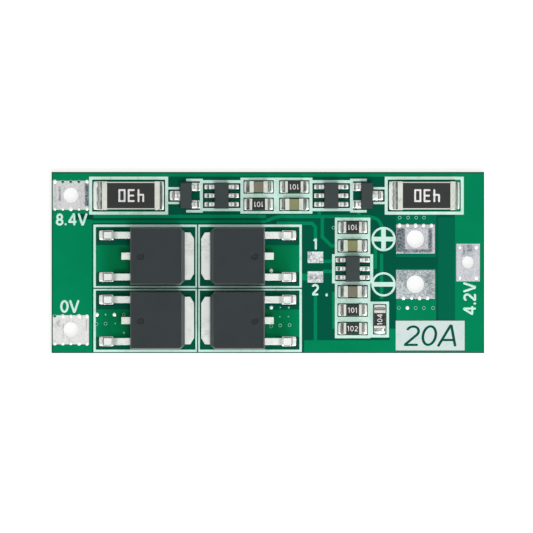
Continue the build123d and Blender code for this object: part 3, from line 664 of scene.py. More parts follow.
def make_resistor_finish():
    material, tree, shader, place = new_finish("resistor_body", Roughness=0.45, Specular_IOR_Level=0.12)
    face = facing_up(tree).ramp(*GLASS_LEVELS)
    glass = use(tree, mottle, Vector=place, Colour=GLASS, Grain=0.4, Depth=0.15)["Colour"]
    tree.links.new(mixed(tree, face, RESISTOR_SIDE, glass), shader.inputs["Base Color"])
    emboss(tree, shader, noise(tree, place, GLASS_GRAIN), GLASS_DEPTH)
    return material


resistor_finish = make_resistor_finish()
print(resistor_finish.name)

# %% [markdown]
# A CAD node can't be changed, so each is copied, and the loose triangles of the copy are merged into clean
# faces. The finished copy rides on the board and stands for its node.

# %% Helpers for pieces
FLAT_ANGLE = math.radians(1)                 # faces that meet at less are one face
MERGE_DISTANCE = 0.002


def merged_copy(node):
    """A copy of a CAD node as a bmesh, its loose triangles joined."""
    work = bmesh.new()
    work.from_mesh(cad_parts[node].data)
    bmesh.ops.remove_doubles(work, verts=work.verts, dist=MERGE_DISTANCE * MM)
    return work


def clean_copy(node):
    """A joined copy with its flat faces made whole."""
    work = merged_copy(node)
    bmesh.ops.dissolve_limit(work, angle_limit=FLAT_ANGLE, verts=work.verts, edges=work.edges)
    return work


def to_mesh(work, name):
    mesh = bpy.data.meshes.new(name)
    work.to_mesh(mesh)
    work.free()
    return mesh


def piece(name, mesh, finish, slot, *nodes):
    """A finished piece, riding on the board and standing for the named CAD nodes."""
    if finish:
        mesh.materials.clear()
        mesh.materials.append(finish)
    thing = new_object(name, mesh)
    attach(thing, "root")
    if nodes:
        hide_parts(*nodes)
    return thing


print("points closer than", MERGE_DISTANCE, "mm are joined")

# %% [markdown]
# A real edge is never sharp, and it is the thin highlight along it that makes a part look solid. The Bevel
# modifier rounds the edges of a copy. Its result is kept as a plain mesh, and the carrier that held the
# modifier is removed.

# %% Helpers for eased edges
EASE_ANGLE = math.radians(32)


def evaluated(carrier):
    """The plain mesh of an object with its modifiers worked out. The object is removed."""
    result = bpy.data.meshes.new_from_object(carrier.evaluated_get(bpy.context.evaluated_depsgraph_get()))
    bpy.data.objects.remove(carrier)
    return result


def applied(mesh, kind, **settings):
    """A mesh after one modifier."""
    carrier = new_object("carrier", mesh)
    modifier = carrier.modifiers.new(kind.lower(), kind)
    for name, value in settings.items():
        setattr(modifier, name, value)
    return evaluated(carrier)


def eased(mesh, width, segments=2):
    """Rounds the sharp edges of a mesh, the width in millimetres."""
    mesh.polygons.foreach_set("use_smooth", [True] * len(mesh.polygons))
    mesh.set_sharp_from_angle(angle=EASE_ANGLE)
    return applied(mesh, "BEVEL", width=width * MM, segments=segments, limit_method="ANGLE",
                   angle_limit=EASE_ANGLE, harden_normals=True, miter_outer="MITER_ARC")


def eased_piece(node, width, finish, slot):
    """The eased copy of one CAD node, standing for it."""
    return piece(node + "_eased", eased(to_mesh(clean_copy(node), node), width), finish, slot, node)


print("edges sharper than", round(math.degrees(EASE_ANGLE)), "degrees are eased")

# %% [markdown]
# Copper tracks are a few hundredths of a millimetre thick, and the mask drapes over them with a soft
# shoulder. That shoulder catches the light and draws the tracks. An inset of the copper's top face, raised a
# little, is enough: its rim stays level with the board.

# %% Board and raised copper
TRACK_RISE = 0.022
SHOULDER = 0.07
UPWARD = 0.9                                 # a face whose normal rises more than this looks up
STANDING = 0.5                               # and one whose normal rises less than this stands
HAIR = 0.001                                 # what lies closer than this is level
copper_z = board_high.z + TRACK_RISE * MM


def shoulder(work, width, rise=0.0, drop=0.0):
    """Insets the top faces of a solid, then lifts what lies inside the rim or lowers the rim itself."""
    top_z = max(v.co.z for v in work.verts) - HAIR * MM
    top = [f for f in work.faces if f.normal.z > UPWARD and f.calc_center_median().z > top_z]
    bmesh.ops.inset_region(work, faces=top, thickness=width * MM, depth=rise * MM, use_even_offset=True)
    work.normal_update()
    for vert in work.verts:
        beside_wall = any(abs(f.normal.z) < STANDING for f in vert.link_faces)
        if beside_wall and vert.co.z > top_z:
            vert.co.z -= drop * MM
    return work


def make_raised_copper():
    mesh = to_mesh(shoulder(clean_copy("masked_copper"), SHOULDER, rise=TRACK_RISE), "raised_copper")
    return piece("raised_copper", mesh, copper_finish, "masked_copper", "masked_copper")


def dress(node, finish):
    """Gives a CAD node that keeps its shape its finish."""
    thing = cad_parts[node]
    thing.data.materials.clear()
    thing.data.materials.append(finish)


dress("circuit_board", board_finish)
raised_copper = make_raised_copper()
print("raised copper:", len(raised_copper.data.polygons), "faces")

# %% [markdown]
# Each wire terminal is a land on both faces joined by its plated hole. Molten tin pulls back from an edge and
# domes slightly, so the top of each land gets a shoulder too, this time by lowering its rim.

# %% Terminals and test pads
LAND_SHOULDER = 0.04
NARROW_SHOULDER = 0.008                      # where a dimple lies right beside the outline
LAND_FALL = 0.4                              # drop of the rim for each millimetre of shoulder

for node, finish in land_finishes.items():
    width = NARROW_SHOULDER if node in ("high_terminal", "zero_terminal") else LAND_SHOULDER
    land = to_mesh(shoulder(merged_copy(node), width, drop=width * LAND_FALL), node)
    piece(node + "_domed", land, finish, "tin", node)
print(len(land_finishes), "tinned pieces")

# %% [markdown]
# The mould leaves a round mark where its ejector pin pushed the case out. A Boolean cuts such a recess into
# the copy of a case, and a second Boolean will open the numerals of the rating in the same way.

# %% Helpers for cutting
CUTTER_STEPS = 32


def round_cutter(x, y, top, radius, depth):
    """A blunt cone that cuts a shallow round recess into the face at height top."""
    work = bmesh.new()
    place = Matrix.Translation((x, y, top))
    bmesh.ops.create_cone(work, cap_ends=True, segments=CUTTER_STEPS, radius1=(radius - depth) * MM,
                          radius2=(radius + depth) * MM, depth=2 * depth * MM, matrix=place)
    return new_object("cutter", to_mesh(work, "cutter"))


def cut(mesh, cutter):
    """A mesh less the cutter, which is then removed."""
    result = applied(mesh, "BOOLEAN", object=cutter, operation="DIFFERENCE", solver="EXACT", use_self=True)
    bpy.data.objects.remove(cutter)
    return result


print("a cutter is removed once it has cut")

# %% [markdown]
# Each power transistor is a case, a drain tab with its cropped centre lead, and two formed leads. The ejector
# mark lies near the lead side, and its floor keeps the darker polish of the pin.

# %% Power transistors
CASE_EDGE = 0.07
LEAD_EDGE = 0.06
EJECTOR_R = 0.44
EJECTOR_DEPTH = 0.1
EJECTOR_INSET = 1.15                         # from the lead side of the case
FLOOR_SHARES = (0.1, 1.1)                    # of its depth, between which its floor is found
polished_finish = make_plain_finish("polished_compound", tint(46, 51, 53), grain=0.25, depth=0.5,
                                    roughness=0.5, gloss=0.1, pits=0.03)


def make_power_transistor(name):
    low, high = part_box(name + "_case")
    lead_low, lead_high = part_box(name + "_leads")
    leads_left = lead_low.x + lead_high.x < low.x + high.x
    x = low.x + EJECTOR_INSET * MM if leads_left else high.x - EJECTOR_INSET * MM
    cutter = round_cutter(x, (low.y + high.y) / 2, high.z, EJECTOR_R, EJECTOR_DEPTH)
    mesh = cut(eased(to_mesh(clean_copy(name + "_case"), name), CASE_EDGE), cutter)
    case = piece(name + "_case_eased", mesh, case_finish, "moulding", name + "_case").data
    case.materials.append(polished_finish)
    ceiling, floor = (high.z - share * EJECTOR_DEPTH * MM for share in FLOOR_SHARES)
    for face in case.polygons:
        if face.normal.z > UPWARD and floor < face.center.z < ceiling:
            face.material_index = 1
    for part in ("_drain_tab", "_leads"):
        eased_piece(name + part, LEAD_EDGE, lead_finish, "lead")


POWER = [f"mosfet_{i}" for i in range(1, 5)]
for name in POWER:
    make_power_transistor(name)
print(len(POWER), "power transistors")

# %% [markdown]
# The small moulded parts and the chip parts are eased the same way, with a finer edge. Plated end caps are
# rounder than anything else, because the plating wraps round the ceramic's ends.

# %% Small parts
SMALL_EDGE = 0.035
CAP_EDGE = 0.09
CHIPS = ["transistor_1", "transistor_2", "balance_chip_1", "balance_chip_2", "protection_chip"]
RESISTORS = [f"resistor_{i}" for i in range(1, 7)]
CAPACITORS = {"capacitor_1": "brown", "capacitor_2": "olive", "capacitor_3": "olive", "capacitor_4": "brown"}
CERAMICS = {"brown": brown_finish, "olive": olive_finish}
BLEEDS = ["bleed_resistor_1", "bleed_resistor_2"]

for name in CHIPS:
    eased_piece(name + "_case", SMALL_EDGE, chip_finish, "moulding")
    eased_piece(name + "_leads", SMALL_EDGE, lead_finish, "lead")
for name in RESISTORS:
    eased_piece(name + "_body", SMALL_EDGE, resistor_finish, "resistor")
for name, colour in CAPACITORS.items():
    eased_piece(name + "_body", SMALL_EDGE, CERAMICS[colour], "capacitor_" + colour)
for name in BLEEDS:
    eased_piece(name + "_body", SMALL_EDGE, ceramic_finish, "ceramic")
    eased_piece(name + "_coat", SMALL_EDGE / 2, coat_finish, "overcoat")
for name in [*RESISTORS, *CAPACITORS, *BLEEDS]:
    eased_piece(name + "_caps", CAP_EDGE, cap_finish, "end_cap")
print(len(CHIPS) + len(RESISTORS) + len(CAPACITORS) + len(BLEEDS), "small parts")

# %% [markdown]
# Geometry Nodes make whatever repeats. Each tree below ends by realizing its instances and setting their
# material. Its sizes are named inputs, so that one tree serves several pieces.

# %% Helpers for Geometry Nodes
def new_tree(name, sockets):
    """An empty geometry tree with named inputs; gives the tree and its input sockets."""
    tree = bpy.data.node_groups.new(name, "GeometryNodeTree")
    tree.interface.new_socket(name="Geometry", in_out="INPUT", socket_type="NodeSocketGeometry")
    for label, kind in [*sockets, ("Finish", "Material")]:
        tree.interface.new_socket(name=label, in_out="INPUT", socket_type="NodeSocket" + kind)
    tree.interface.new_socket(name="Geometry", in_out="OUTPUT", socket_type="NodeSocketGeometry")
    return tree, tree.nodes.new("NodeGroupInput").outputs


def close_tree(tree, geometry, finish):
    """Ends a tree: instances become real, and the surface gets its material."""
    real = add(tree, "GeometryNodeRealizeInstances", {"Geometry": geometry})
    smooth = add(tree, "GeometryNodeSetShadeSmooth", {"Geometry": real.outputs[0]})
    dressed = add(tree, "GeometryNodeSetMaterial", {"Geometry": smooth.outputs[0], "Material": finish})
    add(tree, "NodeGroupOutput", {0: dressed.outputs[0]})
    return tree


print("a tree ends in Realize Instances and Set Material")

# %% [markdown]
# A tree needs a mesh to work on: bare points for solder and beads, or lines for print. This helper runs the
# tree on such a carrier, keeps the result as a plain mesh and throws the carrier and its modifier away. A
# tree's inputs are set by the socket's identifier, before the carrier is first evaluated.

# %% Growing a mesh
def grown(mesh, tree, **values):
    """The plain mesh that a tree makes of a carrier mesh."""
    carrier = new_object("carrier", mesh)
    modifier = carrier.modifiers.new("growth", "NODES")
    modifier.node_group = tree
    for item in tree.interface.items_tree:
        if item.in_out == "INPUT" and item.name.replace(" ", "_") in values:
            modifier[item.identifier] = values[item.name.replace(" ", "_")]
    result = evaluated(carrier)
    result.materials.clear()
    result.materials.append(values["Finish"])
    result.polygons.foreach_set("material_index", [0] * len(result.polygons))
    return result


def points_mesh(points, **attributes):
    """A mesh of bare points. An attribute gives each point a number or a vector."""
    mesh = bpy.data.meshes.new("points")
    mesh.from_pydata([Vector(p) for p in points], [], [])
    for name, values in attributes.items():
        vector = hasattr(values[0], "__len__")
        layer = mesh.attributes.new(name, "FLOAT_VECTOR" if vector else "FLOAT", "POINT")
        flat = [number for value in values for number in value] if vector else values
        layer.data.foreach_set("vector" if vector else "value", flat)
    return mesh


print("helpers:", grown.__name__, points_mesh.__name__)

# %% [markdown]
# Solder wets a joint and pulls itself into a smooth slope, steep at the part and thin at the edge of the
# land. All sixty joints are the same mound at other sizes: a unit block whose height falls along it by a
# power, whose sides fall away, and whose toe is rounded. The tree puts one on each point, turned and scaled
# by the point's own attributes.

# %% Tree: solder mound
SIDE_FALL = 0.8                              # how far the sides of a mound fall
ROUNDING = 4.0                               # the power that rounds its toe


def unit_mound(tree, crest, lip, edge, taper, rows=9):
    """A block one unit long, wide and high, formed into a mound that starts at x = 0 with its full height."""
    block = add(tree, "GeometryNodeMeshCube", {"Size": (1, 1, 1), "Vertices X": rows, "Vertices Y": rows})
    x, y, z = split(tree, tree.nodes.new("GeometryNodeInputPosition").outputs[0])
    along, side, level = x + 0.5, (y * 2.0).size(), z + 0.5
    slope = lip + (1.0 - lip) * (1.0 - along) ** crest
    height = level * slope * (1.0 - (side ** edge) * SIDE_FALL)
    length = along * (1.0 - (side ** ROUNDING) * taper)
    width = y * (1.0 - (along ** ROUNDING) * taper)
    marked = add(tree, "GeometryNodeStoreNamedAttribute",
                 {"Geometry": block.outputs[0], "Name": "descent", "Value": along}, data_type="FLOAT")
    formed = add(tree, "GeometryNodeSetPosition",
                 {"Geometry": marked.outputs[0], "Position": combine(tree, length, width, height)})
    return formed.outputs[0]


def make_mound_tree():
    labels = ("Crest", "Lip", "Edge", "Taper")
    tree, given = new_tree("solder_mounds", [(label, "Float") for label in labels])
    mound = unit_mound(tree, *(Flow(tree, given[label]) for label in labels))
    size = add(tree, "GeometryNodeInputNamedAttribute", {"Name": "size"}, data_type="FLOAT_VECTOR")
    turn = add(tree, "GeometryNodeInputNamedAttribute", {"Name": "turn"}, data_type="FLOAT")
    facing = add(tree, "FunctionNodeEulerToRotation", {0: combine(tree, z=turn.outputs[0])})
    placed = add(tree, "GeometryNodeInstanceOnPoints",
                 {"Points": given["Geometry"], "Instance": mound, "Rotation": facing.outputs[0],
                  "Scale": size.outputs[0]})
    return close_tree(tree, placed.outputs[0], given["Finish"])


mound_tree = make_mound_tree()
print(mound_tree.name, "has", len(mound_tree.nodes), "nodes")

# %% [markdown]
# The places of the joints come from the frame. A node of leads or caps holds several solids, so its copy is
# split into islands and each island's box is read. A joint faces away from the middle of its part.

# %% Places of the joints
def islands(node):
    """The boxes of the separate solids in a CAD node, as (low, high) corners."""
    work = merged_copy(node)
    left, boxes = set(work.verts), []
    while left:
        found, edge = set(), [left.pop()]
        while edge:
            vert = edge.pop()
            found.add(vert)
            near = {e.other_vert(vert) for e in vert.link_edges} & left
            left -= near
            edge += near
        columns = list(zip(*(v.co for v in found)))
        boxes.append((Vector(map(min, columns)), Vector(map(max, columns))))
    work.free()
    return boxes


def outward(box, centre, upright):
    """The middle of the end of a box that faces away from a centre, and the direction as an angle."""
    low, high = box
    middle = (low + high) / 2
    if upright:
        up = middle.y > centre.y
        return middle.x, high.y if up else low.y, math.pi / 2 if up else -math.pi / 2
    right = middle.x > centre.x
    return high.x if right else low.x, middle.y, 0.0 if right else math.pi


def node_centre(node):
    low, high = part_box(node)
    return (low + high) / 2


print(len(islands("balance_chip_1_leads")), "leads on a chip")

# %% [markdown]
# Mounds are collected first and grown together, because one carrier can hold any number of points. A point
# knows which way its mound faces, and how long, wide and high it is.

# %% Mounds to be grown
class Mounds:
    """A set of mounds, each with its start, its direction, and its length, width and height in metres."""

    def __init__(self):
        self.points, self.size, self.turn = [], [], []

    def add(self, x, y, turn, length, width, height):
        self.points.append((x, y, board_high.z))
        self.size.append((length, width, height))
        self.turn.append(turn)

    def grow(self, finish, **shape):
        carrier = points_mesh(self.points, size=self.size, turn=self.turn)
        return grown(carrier, mound_tree, Finish=finish, **shape)


slopes, lands, openings = Mounds(), Mounds(), Mounds()
print("three sets of mounds")

# %% [markdown]
# Under every joint lies its tinned land, a little larger than the foot or the cap. It is a low, nearly flat
# mound of the same tree, and the slope of the joint stands on it. The mask stops a little short of a land, so
# a third mound, lower still and in the colour of bare laminate darkened by painted shade, draws a dark line
# round it.

# %% Slope, land and opening of one joint
LAND_RISE = 0.065
LAND_MARGIN = 0.1
OPENING_GAP = 0.1                            # bare laminate round a land
OPENING_RISE = 0.026


def add_joint(x, y, turn, toe, width, climb, back, slope=None):
    """A slope in front of a part's end, the land that reaches back under the part, and its opening.

    All lengths are in millimetres except the place and the climb, which are in metres.
    """
    slopes.add(x, y, turn, (slope or toe) * MM, width * MM, climb)
    forward = Vector((math.cos(turn), math.sin(turn)))
    start = Vector((x, y)) - forward * back * MM
    length, breadth = back + toe + LAND_MARGIN / 2, width + LAND_MARGIN
    lands.add(start.x, start.y, turn, length * MM, breadth * MM, LAND_RISE * MM)
    start -= forward * OPENING_GAP * MM
    length, breadth = length + 2 * OPENING_GAP, breadth + 2 * OPENING_GAP
    openings.add(start.x, start.y, turn, length * MM, breadth * MM, OPENING_RISE * MM)


print("a land rises", LAND_RISE, "mm, and the bare laminate round it", OPENING_RISE, "mm")

# %% [markdown]
# The leads of the power transistors stand on long lands. Solder climbs the toe of each foot and runs along
# both of its sides.

# %% Joints of the power transistors
POWER_LAND = (1.5, 1.1)                      # under the foot of a lead
POWER_TOE = 0.45                             # land beyond its toe
POWER_SLOPE, POWER_CLIMB = 0.16, 0.26        # length and height of the slope before the toe
SIDE_LENGTH, SIDE_SLOPE, SIDE_CLIMB = 0.95, 0.1, 0.24

for name in POWER:
    for box in islands(name + "_leads"):
        x, y, turn = outward(box, node_centre(name + "_case"), False)
        add_joint(x, y, turn, POWER_TOE, POWER_LAND[1] - LAND_MARGIN, POWER_CLIMB * MM,
                  POWER_LAND[0] - POWER_TOE, POWER_SLOPE)
        middle = x - math.cos(turn) * SIDE_LENGTH / 2 * MM
        for side, edge in ((1, box[1].y), (-1, box[0].y)):
            slopes.add(middle, edge, side * math.pi / 2, SIDE_SLOPE * MM, SIDE_LENGTH * MM, SIDE_CLIMB * MM)
print(len(lands.points), "lands of power transistors")

# %% [markdown]
# The chips and the small transistors have one land for each lead. The single lead of a small transistor has
# a larger land than the pair across from it.

# %% Joints of the chips
CHIP_CLIMB = 0.22
CHIP_LAND, CHIP_TOE = (1.0, 0.56), 0.42
TRANSISTOR_LAND, TRANSISTOR_TOE = (0.95, 0.95), 0.26
SINGLE_MARGIN = (0.22, 0.12)                 # how much longer and wider the land of a single lead is

for name in CHIPS:
    small = name.startswith("transistor")
    length, width = TRANSISTOR_LAND if small else CHIP_LAND
    toe = TRANSISTOR_TOE if small else CHIP_TOE
    centre = node_centre(name + "_case")
    for box in islands(name + "_leads"):
        x, y, turn = outward(box, centre, False)
        single = small and abs(y - centre.y) < width / 2 * MM
        longer, wider = SINGLE_MARGIN if single else (0, 0)
        add_joint(x, y, turn, toe + longer, width + wider - LAND_MARGIN, CHIP_CLIMB * MM, length - toe)
print(len(lands.points), "lands so far")

# %% [markdown]
# On a chip part the solder climbs two thirds of the way up each end cap. The bleed resistors sit a little to
# the right on their lands, so more of the left land shows.

# %% Joints of the chip parts
CHIP_PART_REACH = 0.52
BLEED_REACH, BLEED_SHIFT = 0.64, 0.25
SLOPE_SHARE = 0.66

for name in [*RESISTORS, *CAPACITORS, *BLEEDS]:
    centre = node_centre(name + "_body")
    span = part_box(name + "_body")
    upright = span[1].y - span[0].y > span[1].x - span[0].x
    for low, high in islands(name + "_caps"):
        x, y, turn = outward((low, high), centre, upright)
        reach = CHIP_PART_REACH
        if name in BLEEDS:
            reach = BLEED_REACH + (BLEED_SHIFT if turn else -BLEED_SHIFT)
        width, back = (high.x - low.x, high.y - low.y) if upright else (high.y - low.y, high.x - low.x)
        climb = SLOPE_SHARE * (high.z - board_high.z)
        add_joint(x, y, turn, reach, width / MM - LAND_MARGIN / 2, climb, back / MM)
print(len(lands.points), "lands so far")

# %% [markdown]
# A drain tab lies flat on a wide land. The solder under it stays inside its outline.

# %% Joints of the drain tabs
TAB_LENGTH, TAB_WIDTH, TAB_INSET = 4.6, 4.9, 0.45

for name in POWER:
    low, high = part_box(name + "_drain_tab")
    x, y, turn = outward((low, high), node_centre(name + "_leads"), False)
    start = x - math.cos(turn) * TAB_INSET * MM
    lands.add(start, y, turn + math.pi, TAB_LENGTH * MM, TAB_WIDTH * MM, LAND_RISE * MM)
print(len(slopes.points), "slopes and", len(lands.points), "lands")

# %% [markdown]
# The three sets of mounds are grown by the one tree. Slopes fall to a thin toe, while lands and openings keep
# their height almost to the edge. Together they are one piece that stands for all the solder of the model,
# and each face keeps the finish that it was grown with.

# %% Grow the solder
CREASE = math.radians(60)                    # edges sharper than this stay sharp in the shading
# bare laminate, its colour darkened by painted shade
opening_shade_finish = make_plain_finish("bare_laminate", tint(12, 48, 40), grain=0.3, depth=0.1, roughness=0.6,
                                   gloss=0.05, pits=0.004)


def merged_meshes(name, meshes):
    """Several meshes as one, each keeping its own finish."""
    work, finishes = bmesh.new(), []
    for mesh in meshes:
        finish = mesh.materials[0]
        finishes += [finish] if finish not in finishes else []
        done = len(work.faces)
        work.from_mesh(mesh)
        work.faces.ensure_lookup_table()
        for face in work.faces[done:]:
            face.material_index = finishes.index(finish)
    merged = to_mesh(work, name)
    for finish in finishes:
        merged.materials.append(finish)
    merged.polygons.foreach_set("use_smooth", [True] * len(merged.polygons))
    merged.set_sharp_from_angle(angle=CREASE)
    return merged


solder = merged_meshes("solder", [slopes.grow(solder_finish, Crest=1.7, Lip=0.16, Edge=7.0, Taper=0.08),
                                  lands.grow(tinned_finish, Crest=0.02, Lip=0.8, Edge=14.0, Taper=0.03),
                                  openings.grow(opening_shade_finish, Crest=0.02, Lip=0.9, Edge=24.0, Taper=0.02)])
piece("solder_slopes", solder, None, "solder", "solder_joints")
print("solder:", len(solder.polygons), "faces")

# %% [markdown]
# The stitching holes of the terminals are closed by beads of solder, and smaller plated holes tie the copper
# of the two faces together all over the board. Some of those are filled and bright. A bead is a flat ball,
# and the tree lets its width vary a little with a fixed seed.

# %% Tree: beads
BALL_SEGMENTS, BALL_RINGS = 14, 8


def make_bead_tree():
    tree, given = new_tree("beads", [("Radius", "Float"), ("Rise", "Float"), ("Spread", "Float"),
                                     ("Seed", "Int")])
    ball = add(tree, "GeometryNodeMeshUVSphere",
               {"Segments": BALL_SEGMENTS, "Rings": BALL_RINGS, "Radius": 1.0})
    radius, spread = Flow(tree, given["Radius"]), Flow(tree, given["Spread"])
    share = add(tree, "FunctionNodeRandomValue", {"Seed": given["Seed"]}, data_type="FLOAT")
    share.inputs[2].default_value, share.inputs[3].default_value = -1.0, 1.0
    wide = radius * (Flow(tree, share.outputs[1]) * spread + 1.0)
    scale = combine(tree, wide, wide, given["Rise"])
    placed = add(tree, "GeometryNodeInstanceOnPoints",
                 {"Points": given["Geometry"], "Instance": ball.outputs[0], "Scale": scale})
    return close_tree(tree, placed.outputs[0], given["Finish"])


bead_tree = make_bead_tree()
print(bead_tree.name, "has", len(bead_tree.nodes), "nodes")

# %% [markdown]
# Other plated holes are open, and show a thin pale rim round a dark middle, which is painted shade for the
# depth of the hole. The rim is a circle swept round a circle, and flattened.

# %% Tree: rims
RING_FLATNESS = 0.5
RING_STEPS, WALL_STEPS = 20, 8               # round the ring, and round its wall


def make_ring_tree():
    tree, given = new_tree("rings", [("Radius", "Float"), ("Wall", "Float")])
    path = add(tree, "GeometryNodeCurvePrimitiveCircle",
               {"Resolution": RING_STEPS, "Radius": given["Radius"]})
    section = add(tree, "GeometryNodeCurvePrimitiveCircle",
                  {"Resolution": WALL_STEPS, "Radius": given["Wall"]})
    tube = add(tree, "GeometryNodeCurveToMesh",
               {"Curve": path.outputs[0], "Profile Curve": section.outputs[0]})
    placed = add(tree, "GeometryNodeInstanceOnPoints",
                 {"Points": given["Geometry"], "Instance": tube.outputs[0], "Scale": (1, 1, RING_FLATNESS)})
    return close_tree(tree, placed.outputs[0], given["Finish"])


ring_tree = make_ring_tree()
print(ring_tree.name, "has", len(ring_tree.nodes), "nodes")

# %% [markdown]
# The beads lie in the dimples of the lands: a row of five along both long edges of the left-hand terminals,
# one row on each output terminal, and one at each corner of the mid-cell terminal. Four dimples of the
# left-hand terminals stayed open. They get a rim and a dark middle of painted shade together with the plated
# holes.

# %% Beads on the terminals
DIMPLE_PITCH = 0.88
DIMPLE_INSET = 0.1                           # from the long edge of a land
CORNER_INSET = 0.4
BEAD_R, BEAD_RISE = 0.215, 0.035


def row(node, count, side):
    """A row of points along the upper (1) or lower (-1) edge of a land."""
    low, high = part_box(node)
    y = high.y - DIMPLE_INSET * MM if side > 0 else low.y + DIMPLE_INSET * MM
    first = (low.x + high.x) / 2 - (count - 1) / 2 * DIMPLE_PITCH * MM
    return [(first + i * DIMPLE_PITCH * MM, y, copper_z) for i in range(count)]


def corners(node):
    """Points near the four corners of a land."""
    low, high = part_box(node)
    inset = CORNER_INSET * MM
    columns, rows = (low.x + inset, high.x - inset), (low.y + inset, high.y - inset)
    return [(x, y, copper_z) for x in columns for y in rows]


def grow_beads(places, finish, radius, rise, spread, seed):
    """A bead at each place; its radius and rise in millimetres."""
    return grown(points_mesh(places), bead_tree, Radius=radius * MM, Rise=rise * MM, Spread=spread, Seed=seed,
                 Finish=finish)


high_row, zero_row = row("high_terminal", 5, 1), row("zero_terminal", 5, 1)
unfilled = [*high_row[1:4], zero_row[0]]
beads = [high_row[0], high_row[4], *row("high_terminal", 5, -1), *zero_row[1:], *row("zero_terminal", 5, -1),
         *row("output_plus_terminal", 5, 1), *row("output_minus_terminal", 4, -1), *corners("mid_terminal")]
bead_mesh = grow_beads(beads, bead_finish, BEAD_R, BEAD_RISE, spread=0.16, seed=7)
piece("stitching_beads", bead_mesh, None, "solder")
print(len(beads), "beads")

# %% [markdown]
# The small plated holes lie in short rows and grids that follow no rule of their own, so each is given by its
# pixel in the photograph. The picture was taken from straight above, and the camera's span and middle turn
# that pixel into a place on the board.

# %% Places in the photograph
PICTURE_SIDE = 533                           # pixels
PHOTO_SCALE = PICTURE_SIDE / VIEW_SPAN       # pixels in a millimetre
PHOTO_ORIGIN = (PICTURE_SIDE / 2 - VIEW_CENTRE[0] * PHOTO_SCALE,
                PICTURE_SIDE / 2 + VIEW_CENTRE[1] * PHOTO_SCALE)


def from_photo(places, z):
    """Points on the board's face from pixels of the photograph."""
    return [((x - PHOTO_ORIGIN[0]) / PHOTO_SCALE * MM, (PHOTO_ORIGIN[1] - y) / PHOTO_SCALE * MM, z)
            for x, y in places]


FILLED = [(96.9, 314.6), (114.4, 314.7), (407.4, 307.9), (271.1, 307.5), (271.1, 270.7)]
SMALL = [(105.6, 314.6), (115.2, 323.5), (123.9, 332.8), (280.2, 307.5), (288.8, 307.5), (288.4, 316.7),
         (279.8, 316.7)]
OPEN = [(96.5, 324.2), (105.6, 323.7), (123.7, 314.6), (399.7, 217.6), (408.1, 217.6), (416.1, 217.6),
        (424.0, 217.6), (423.9, 307.9), (432.9, 307.9), (398.9, 307.9), (415.7, 307.9), (333.4, 227.7),
        (280.2, 325.4), (289.6, 325.1), (271.1, 326.3)]
print(round(PHOTO_SCALE, 2), "pixels in a millimetre")

# %% [markdown]
# A filled hole is a bright bead, a small one is a green speck under the mask, and an open one is a rim with a
# dark middle, a disc of painted shade for the hole's depth. The four open dimples of the left-hand terminals
# look like open holes, so they join them.

# %% Plated holes
RIM_R, RIM_WALL = 0.15, 0.035
OPEN_R, OPEN_RISE = 0.14, 0.008
FILLED_R, FILLED_RISE = 0.19, 0.035
SMALL_R, SMALL_RISE = 0.09, 0.02
# the dark middle of an open hole is painted shade for its depth
hole_shade_finish = make_plain_finish("open_hole", tint(6, 60, 46), grain=0.2, depth=0.2, roughness=0.7,
                                gloss=0.05, pits=0.002)
rim_finish = make_plain_finish("masked_rim", tint(132, 204, 174), grain=0.2, depth=0.3, roughness=0.4,
                               gloss=0.1, pits=0.002)


open_places = [*from_photo(OPEN, copper_z), *unfilled]
rims = grown(points_mesh(open_places), ring_tree, Radius=RIM_R * MM, Wall=RIM_WALL * MM, Finish=rim_finish)
hole_shades = grow_beads(open_places, hole_shade_finish, OPEN_R, OPEN_RISE, spread=0.1, seed=5)
fills = grow_beads(from_photo(FILLED, copper_z), bead_finish, FILLED_R, FILLED_RISE, spread=0.15, seed=3)
specks = grow_beads(from_photo(SMALL, copper_z), rim_finish, SMALL_R, SMALL_RISE, spread=0.3, seed=4)
piece("plated_holes", merged_meshes("holes", [rims, hole_shades, fills, specks]), None, "solder")
print(len(open_places), "open,", len(FILLED), "filled and", len(SMALL), "small holes")

# %% [markdown]
# The board's lettering is drawn with a pen, as old layout programs did: every letter is a few strokes with
# round ends. A glyph below is a list of strokes in units of its height, and an arc gives the round ones.

# %% Glyphs
def arc(cx, cy, rx, ry, start, end, steps=20):
    """Points along an ellipse, the angles in degrees."""
    angles = [math.radians(start + (end - start) * i / steps) for i in range(steps + 1)]
    return [(cx + rx * math.cos(a), cy + ry * math.sin(a)) for a in angles]


GLYPHS = {
    "0": (0.62, [arc(0.31, 0.5, 0.25, 0.42, 90, 450)]),
    "1": (0.36, [[(0.02, 0.76), (0.22, 0.94)], [(0.22, 1.0), (0.22, 0.0)]]),
    "2": (0.6, [arc(0.28, 0.68, 0.23, 0.23, 165, -40) + [(0.04, 0.08)], [(0.0, 0.08), (0.56, 0.08)]]),
    "4": (0.72, [[(0.5, 1.0), (0.04, 0.26)], [(0.0, 0.3), (0.7, 0.3)], [(0.5, 1.0), (0.5, 0.0)]]),
    "8": (0.62, [arc(0.3, 0.7, 0.19, 0.21, 90, 450), arc(0.3, 0.29, 0.23, 0.21, 90, 450)]),
    "V": (0.78, [[(0.04, 1.0), (0.38, 0.0)], [(0.38, 0.0), (0.72, 1.0)]]),
    "A": (0.8, [[(0.04, 0.0), (0.44, 1.0)], [(0.44, 1.0), (0.72, 0.0)], [(0.18, 0.3), (0.66, 0.3)]]),
    ".": (0.2, [[(0.08, 0.0), (0.08, 0.2)]]),
}
